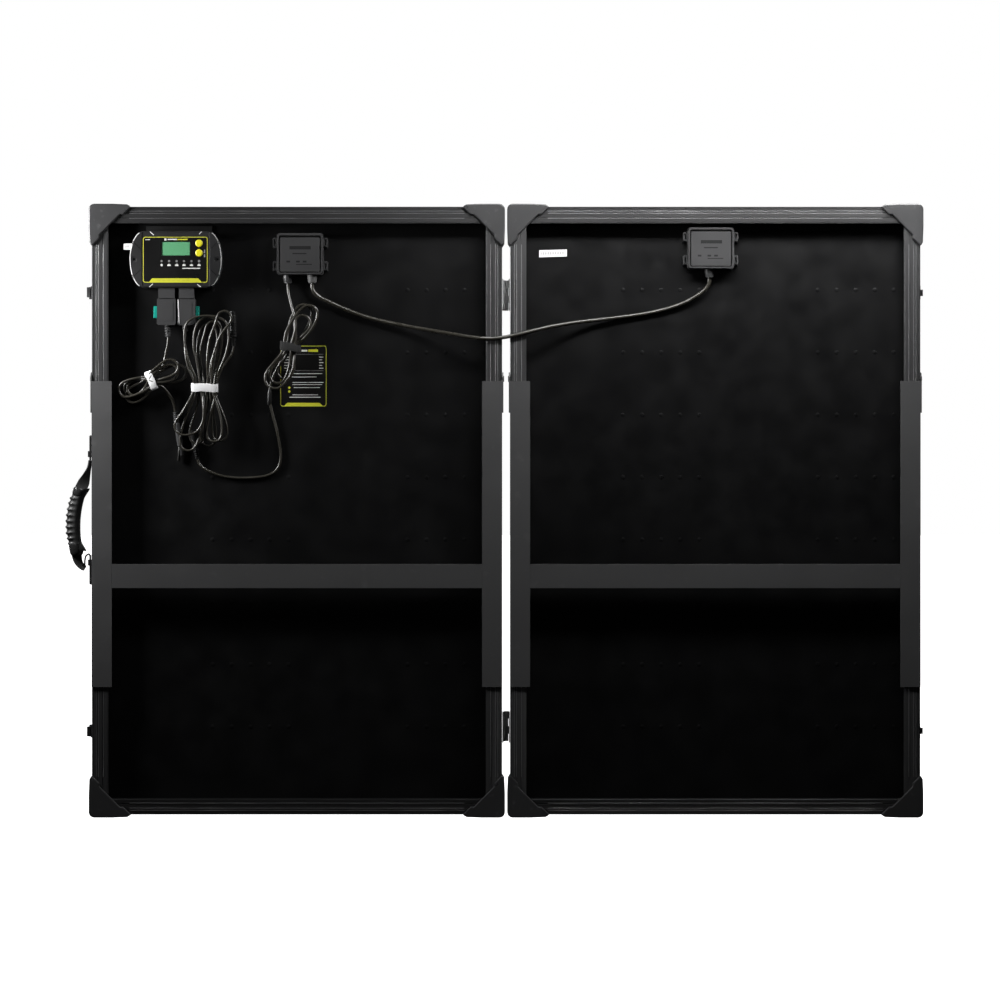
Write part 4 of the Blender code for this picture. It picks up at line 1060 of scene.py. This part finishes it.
def handle_strap(name, stations, turns):
    """Webbing from a pin to the grip. Each station is x, z and width; turns is its twist in degrees."""
    route = smooth_route([at(x, 0, z) for x, z, _ in stations], 0.0016)
    rows = []
    for i, middle in enumerate(route):
        share = i / (len(route) - 1)
        place = share * (len(stations) - 1)
        low = min(int(place), len(stations) - 2)
        width = stations[low][2] + (stations[low + 1][2] - stations[low][2]) * (place - low)
        ahead = (route[min(i + 1, len(route) - 1)] - route[max(i - 1, 0)]).normalized()
        twist = math.radians(turns[0] + (turns[1] - turns[0]) * share)
        level = Vector((0, 1, 0))
        side = ahead.cross(level).normalized()
        across = level * math.cos(twist) + side * math.sin(twist)
        rows.append(strap_row(middle, across, ahead.cross(across).normalized(), width, 2.4))
    loft(name, rows, WEBBING, "handle")


def handle():
    """The grip with its collars, the straps to its two pins, and the wire hook below it."""
    grip()
    upper = [(PIN_X - 0.4, 588.0, 6), (-688.0, 577.0, 8), (-691.8, 565.0, 13), (-696.8, 552.0, 19)]
    handle_strap("handle_strap_upper", [*upper, (-702.5, 540.0, 20)], (30, 90))
    lower = [(-708.0, 440.5, 18), (-708.5, 431.0, 17), (-705.5, 419.5, 15), (-699.5, 412.0, 12)]
    handle_strap("handle_strap_lower", [*lower, (-694.6, 409.5, 10)], (90, 55))
    collar = [(0, 0), (9.6, 0), (11.3, 1.0), (11.6, 3), (11.2, 9.5), (10.4, 12), (9.4, 13), (0, 13)]
    turned("grip_collar_upper", [((-703.0, 0, 540.5), (-708.5, 0, 525.0))], collar, COLLAR, "handle", 28)
    low_collar = [(0, 0), (9.4, 0), (11.2, 1.2), (11.5, 4), (11.2, 15), (9.8, 19), (7.5, 21.5), (0, 21.5)]
    turned("grip_collar_lower", [((-711.6, 0, 451.0), (-707.2, 0, 430.0))], low_collar, COLLAR, "handle", 28)
    pins = [((PIN_X, 0, 586.5), (PIN_X, 0, 602.5)), ((PIN_X, 0, 431.5), (PIN_X, 0, 414.5))]
    turned("handle_pins", pins, [(0, 0), (1.7, 0), (1.7, 15.8), (1.2, 16), (0, 16)], STEEL, "handle", 12)
    hook = [(PIN_X, 0, 429.5), (-688.4, 0, 433), (-693, 0, 430.5), (-695.2, 0, 423), (-695.6, 0, 414)]
    hook += [(-697.2, 0, 408.2), (-700.0, 0, 407.2), (-701.0, 0, 410.6)]
    hook += [(-699.2, 0, 415.0), (-696.6, 0, 417.5)]
    tube("handle_hook", smooth_route([Vector(p) for p in hook], 0.9), 1.4, HINGE_DARK, "handle")
    for place, height in (("upper", 611.2), ("lower", 400.5)):
        plate = rounded(-684.3, height, 5.2, 35.5, 2.3)
        flat(f"handle_plate_{place}", [plate], -8, 8, HINGE_DARK, LEFT, 0.6)


def latches():
    """Wire bails and rivets on the levers of the two draw latches."""
    for place, height in (("upper", 864.5), ("lower", 141.0)):
        bail = [(-688.8, 8.0, height - 6.0), (-689.6, -5.0, height - 6.4), (-689.9, -8.2, height - 5.2)]
        bail += [(-690.0, -9.0, height), (-689.9, -8.2, height + 5.2), (-689.6, -5.0, height + 6.4)]
        bail += [(-688.8, 8.0, height + 6.0)]
        wire = smooth_route([Vector(p) for p in bail], 0.8)
        tube(f"latch_bail_{place}", wire, 0.75, BRIGHT, f"latch_{place}")
        pads = [((-688.0, y, height + z), (-692.0, y, height + z)) for y, z in ((-2, 0), (4.5, 0))]
        dome = [(0, 0), (2.3, 0), (2.1, 0.8), (1.2, 1.3), (0, 1.5)]
        turned(f"latch_rivets_{place}", pads, dome, BRIGHT, f"latch_{place}", 14)


GROOVE_EDGES = (7.1, 10.7, 18.9)
EDGE_DEPTHS = (-17.85, -17.45)
PANEL_INNER = 6.5
PANEL_OUTER = 681.5
PANEL_FOOT = 4.7
PANEL_HEAD = 1004.7


def painted_rail_highlights():
    """Painted highlights: light strips along the sharp edges of the grooves in the rails' backs, where the
    ridges catch the light.
    """
    ends = 62
    for side, name, body in ((-1, "left", LEFT), (1, "right", RIGHT)):
        upright = []
        level = []
        for inset in GROOVE_EDGES:
            for x in (side * (PANEL_OUTER - inset), side * (PANEL_INNER + inset)):
                upright.append(bar((x, PANEL_FOOT + ends), (x, PANEL_HEAD - ends), 0.8))
            for z in (PANEL_FOOT + inset, PANEL_HEAD - inset):
                across = (side * (PANEL_INNER + ends), side * (PANEL_OUTER - ends))
                level.append(bar((across[0], z), (across[1], z), 0.8))
        flat(f"{name}_rail_painted_highlights_upright", upright, *EDGE_DEPTHS, RAIL_HIGHLIGHT_STRIP, body, 0.25)
        flat(f"{name}_rail_painted_highlights_level", level, *EDGE_DEPTHS, RAIL_HIGHLIGHT_STRIP, body, 0.25)


def hinge_strips():
    """The flange of each left leaf that lies across the gap, coloured light grey as a painted highlight, and
    a thin dark strip on the rail beside it.
    """
    for place, height in (("upper", 861.2), ("lower", 147.5)):
        web = [bar((-3.9, height - 24.8), (-3.9, height + 24.8), 4.4)]
        flat(f"hinge_flange_{place}", web, 11.0, 12.6, HINGE_PAINTED_HIGHLIGHT, LEFT, 0.3)
    # A thin near-black strip on the right inner rail beside the upper hinge.
    flat("rail_dark_strip", [bar((16.6, 838.0), (16.6, 884.5), 1.5)], -17.62, -17.4, LABEL, RIGHT)


# ---------------------------------------------------------------- the frame's own finishes
def finish_of(node):
    if "_rail_" in node:
        return RAIL_UPRIGHT if node.endswith(("inner", "outer")) else RAIL_LEVEL
    starts = {
        "kickstand": STAND,
        "junction_box": BOX,
        "controller_plug": PLUG,
        "controller_button": YELLOW,
        "controller_board": DISPLAY,
        "controller": CASE,
        "release_tab": TEAL,
        "latch": STEEL,
        "catch": STEEL,
        "handle_bracket": STEEL,
        "handle": RUBBER,
        "hinge": HINGE,
        "input_plug": PLUG,
        "output_connector": MOULDED,
        "box_lead_socket": MOULDED,
    }
    if "_corner_" in node:
        return CORNER
    if node.endswith("laminate"):
        return SHEET
    return next((material for start, material in starts.items() if node.startswith(start)), JACKET)


def finish_nodes():
    for name, obj in NODES.items():
        obj.data.materials.clear()
        obj.data.materials.append(finish_of(name))


camera()
studio()
link_cable()
leads()
controller()
box_detail("left", -339.8, 928.0, LEFT, ((-360.0, BOX), (-320.0, GLAND_PAINTED_HIGHLIGHT)))
box_detail("right", 337.8, 937.8, RIGHT, ((336.0, BOX),))
back_labels()
sheet_ridge()
cells(-1, "left", LEFT, 2.0)
cells(1, "right", RIGHT, -7.0)
handle()
latches()
painted_rail_highlights()
hinge_strips()
finish_nodes()
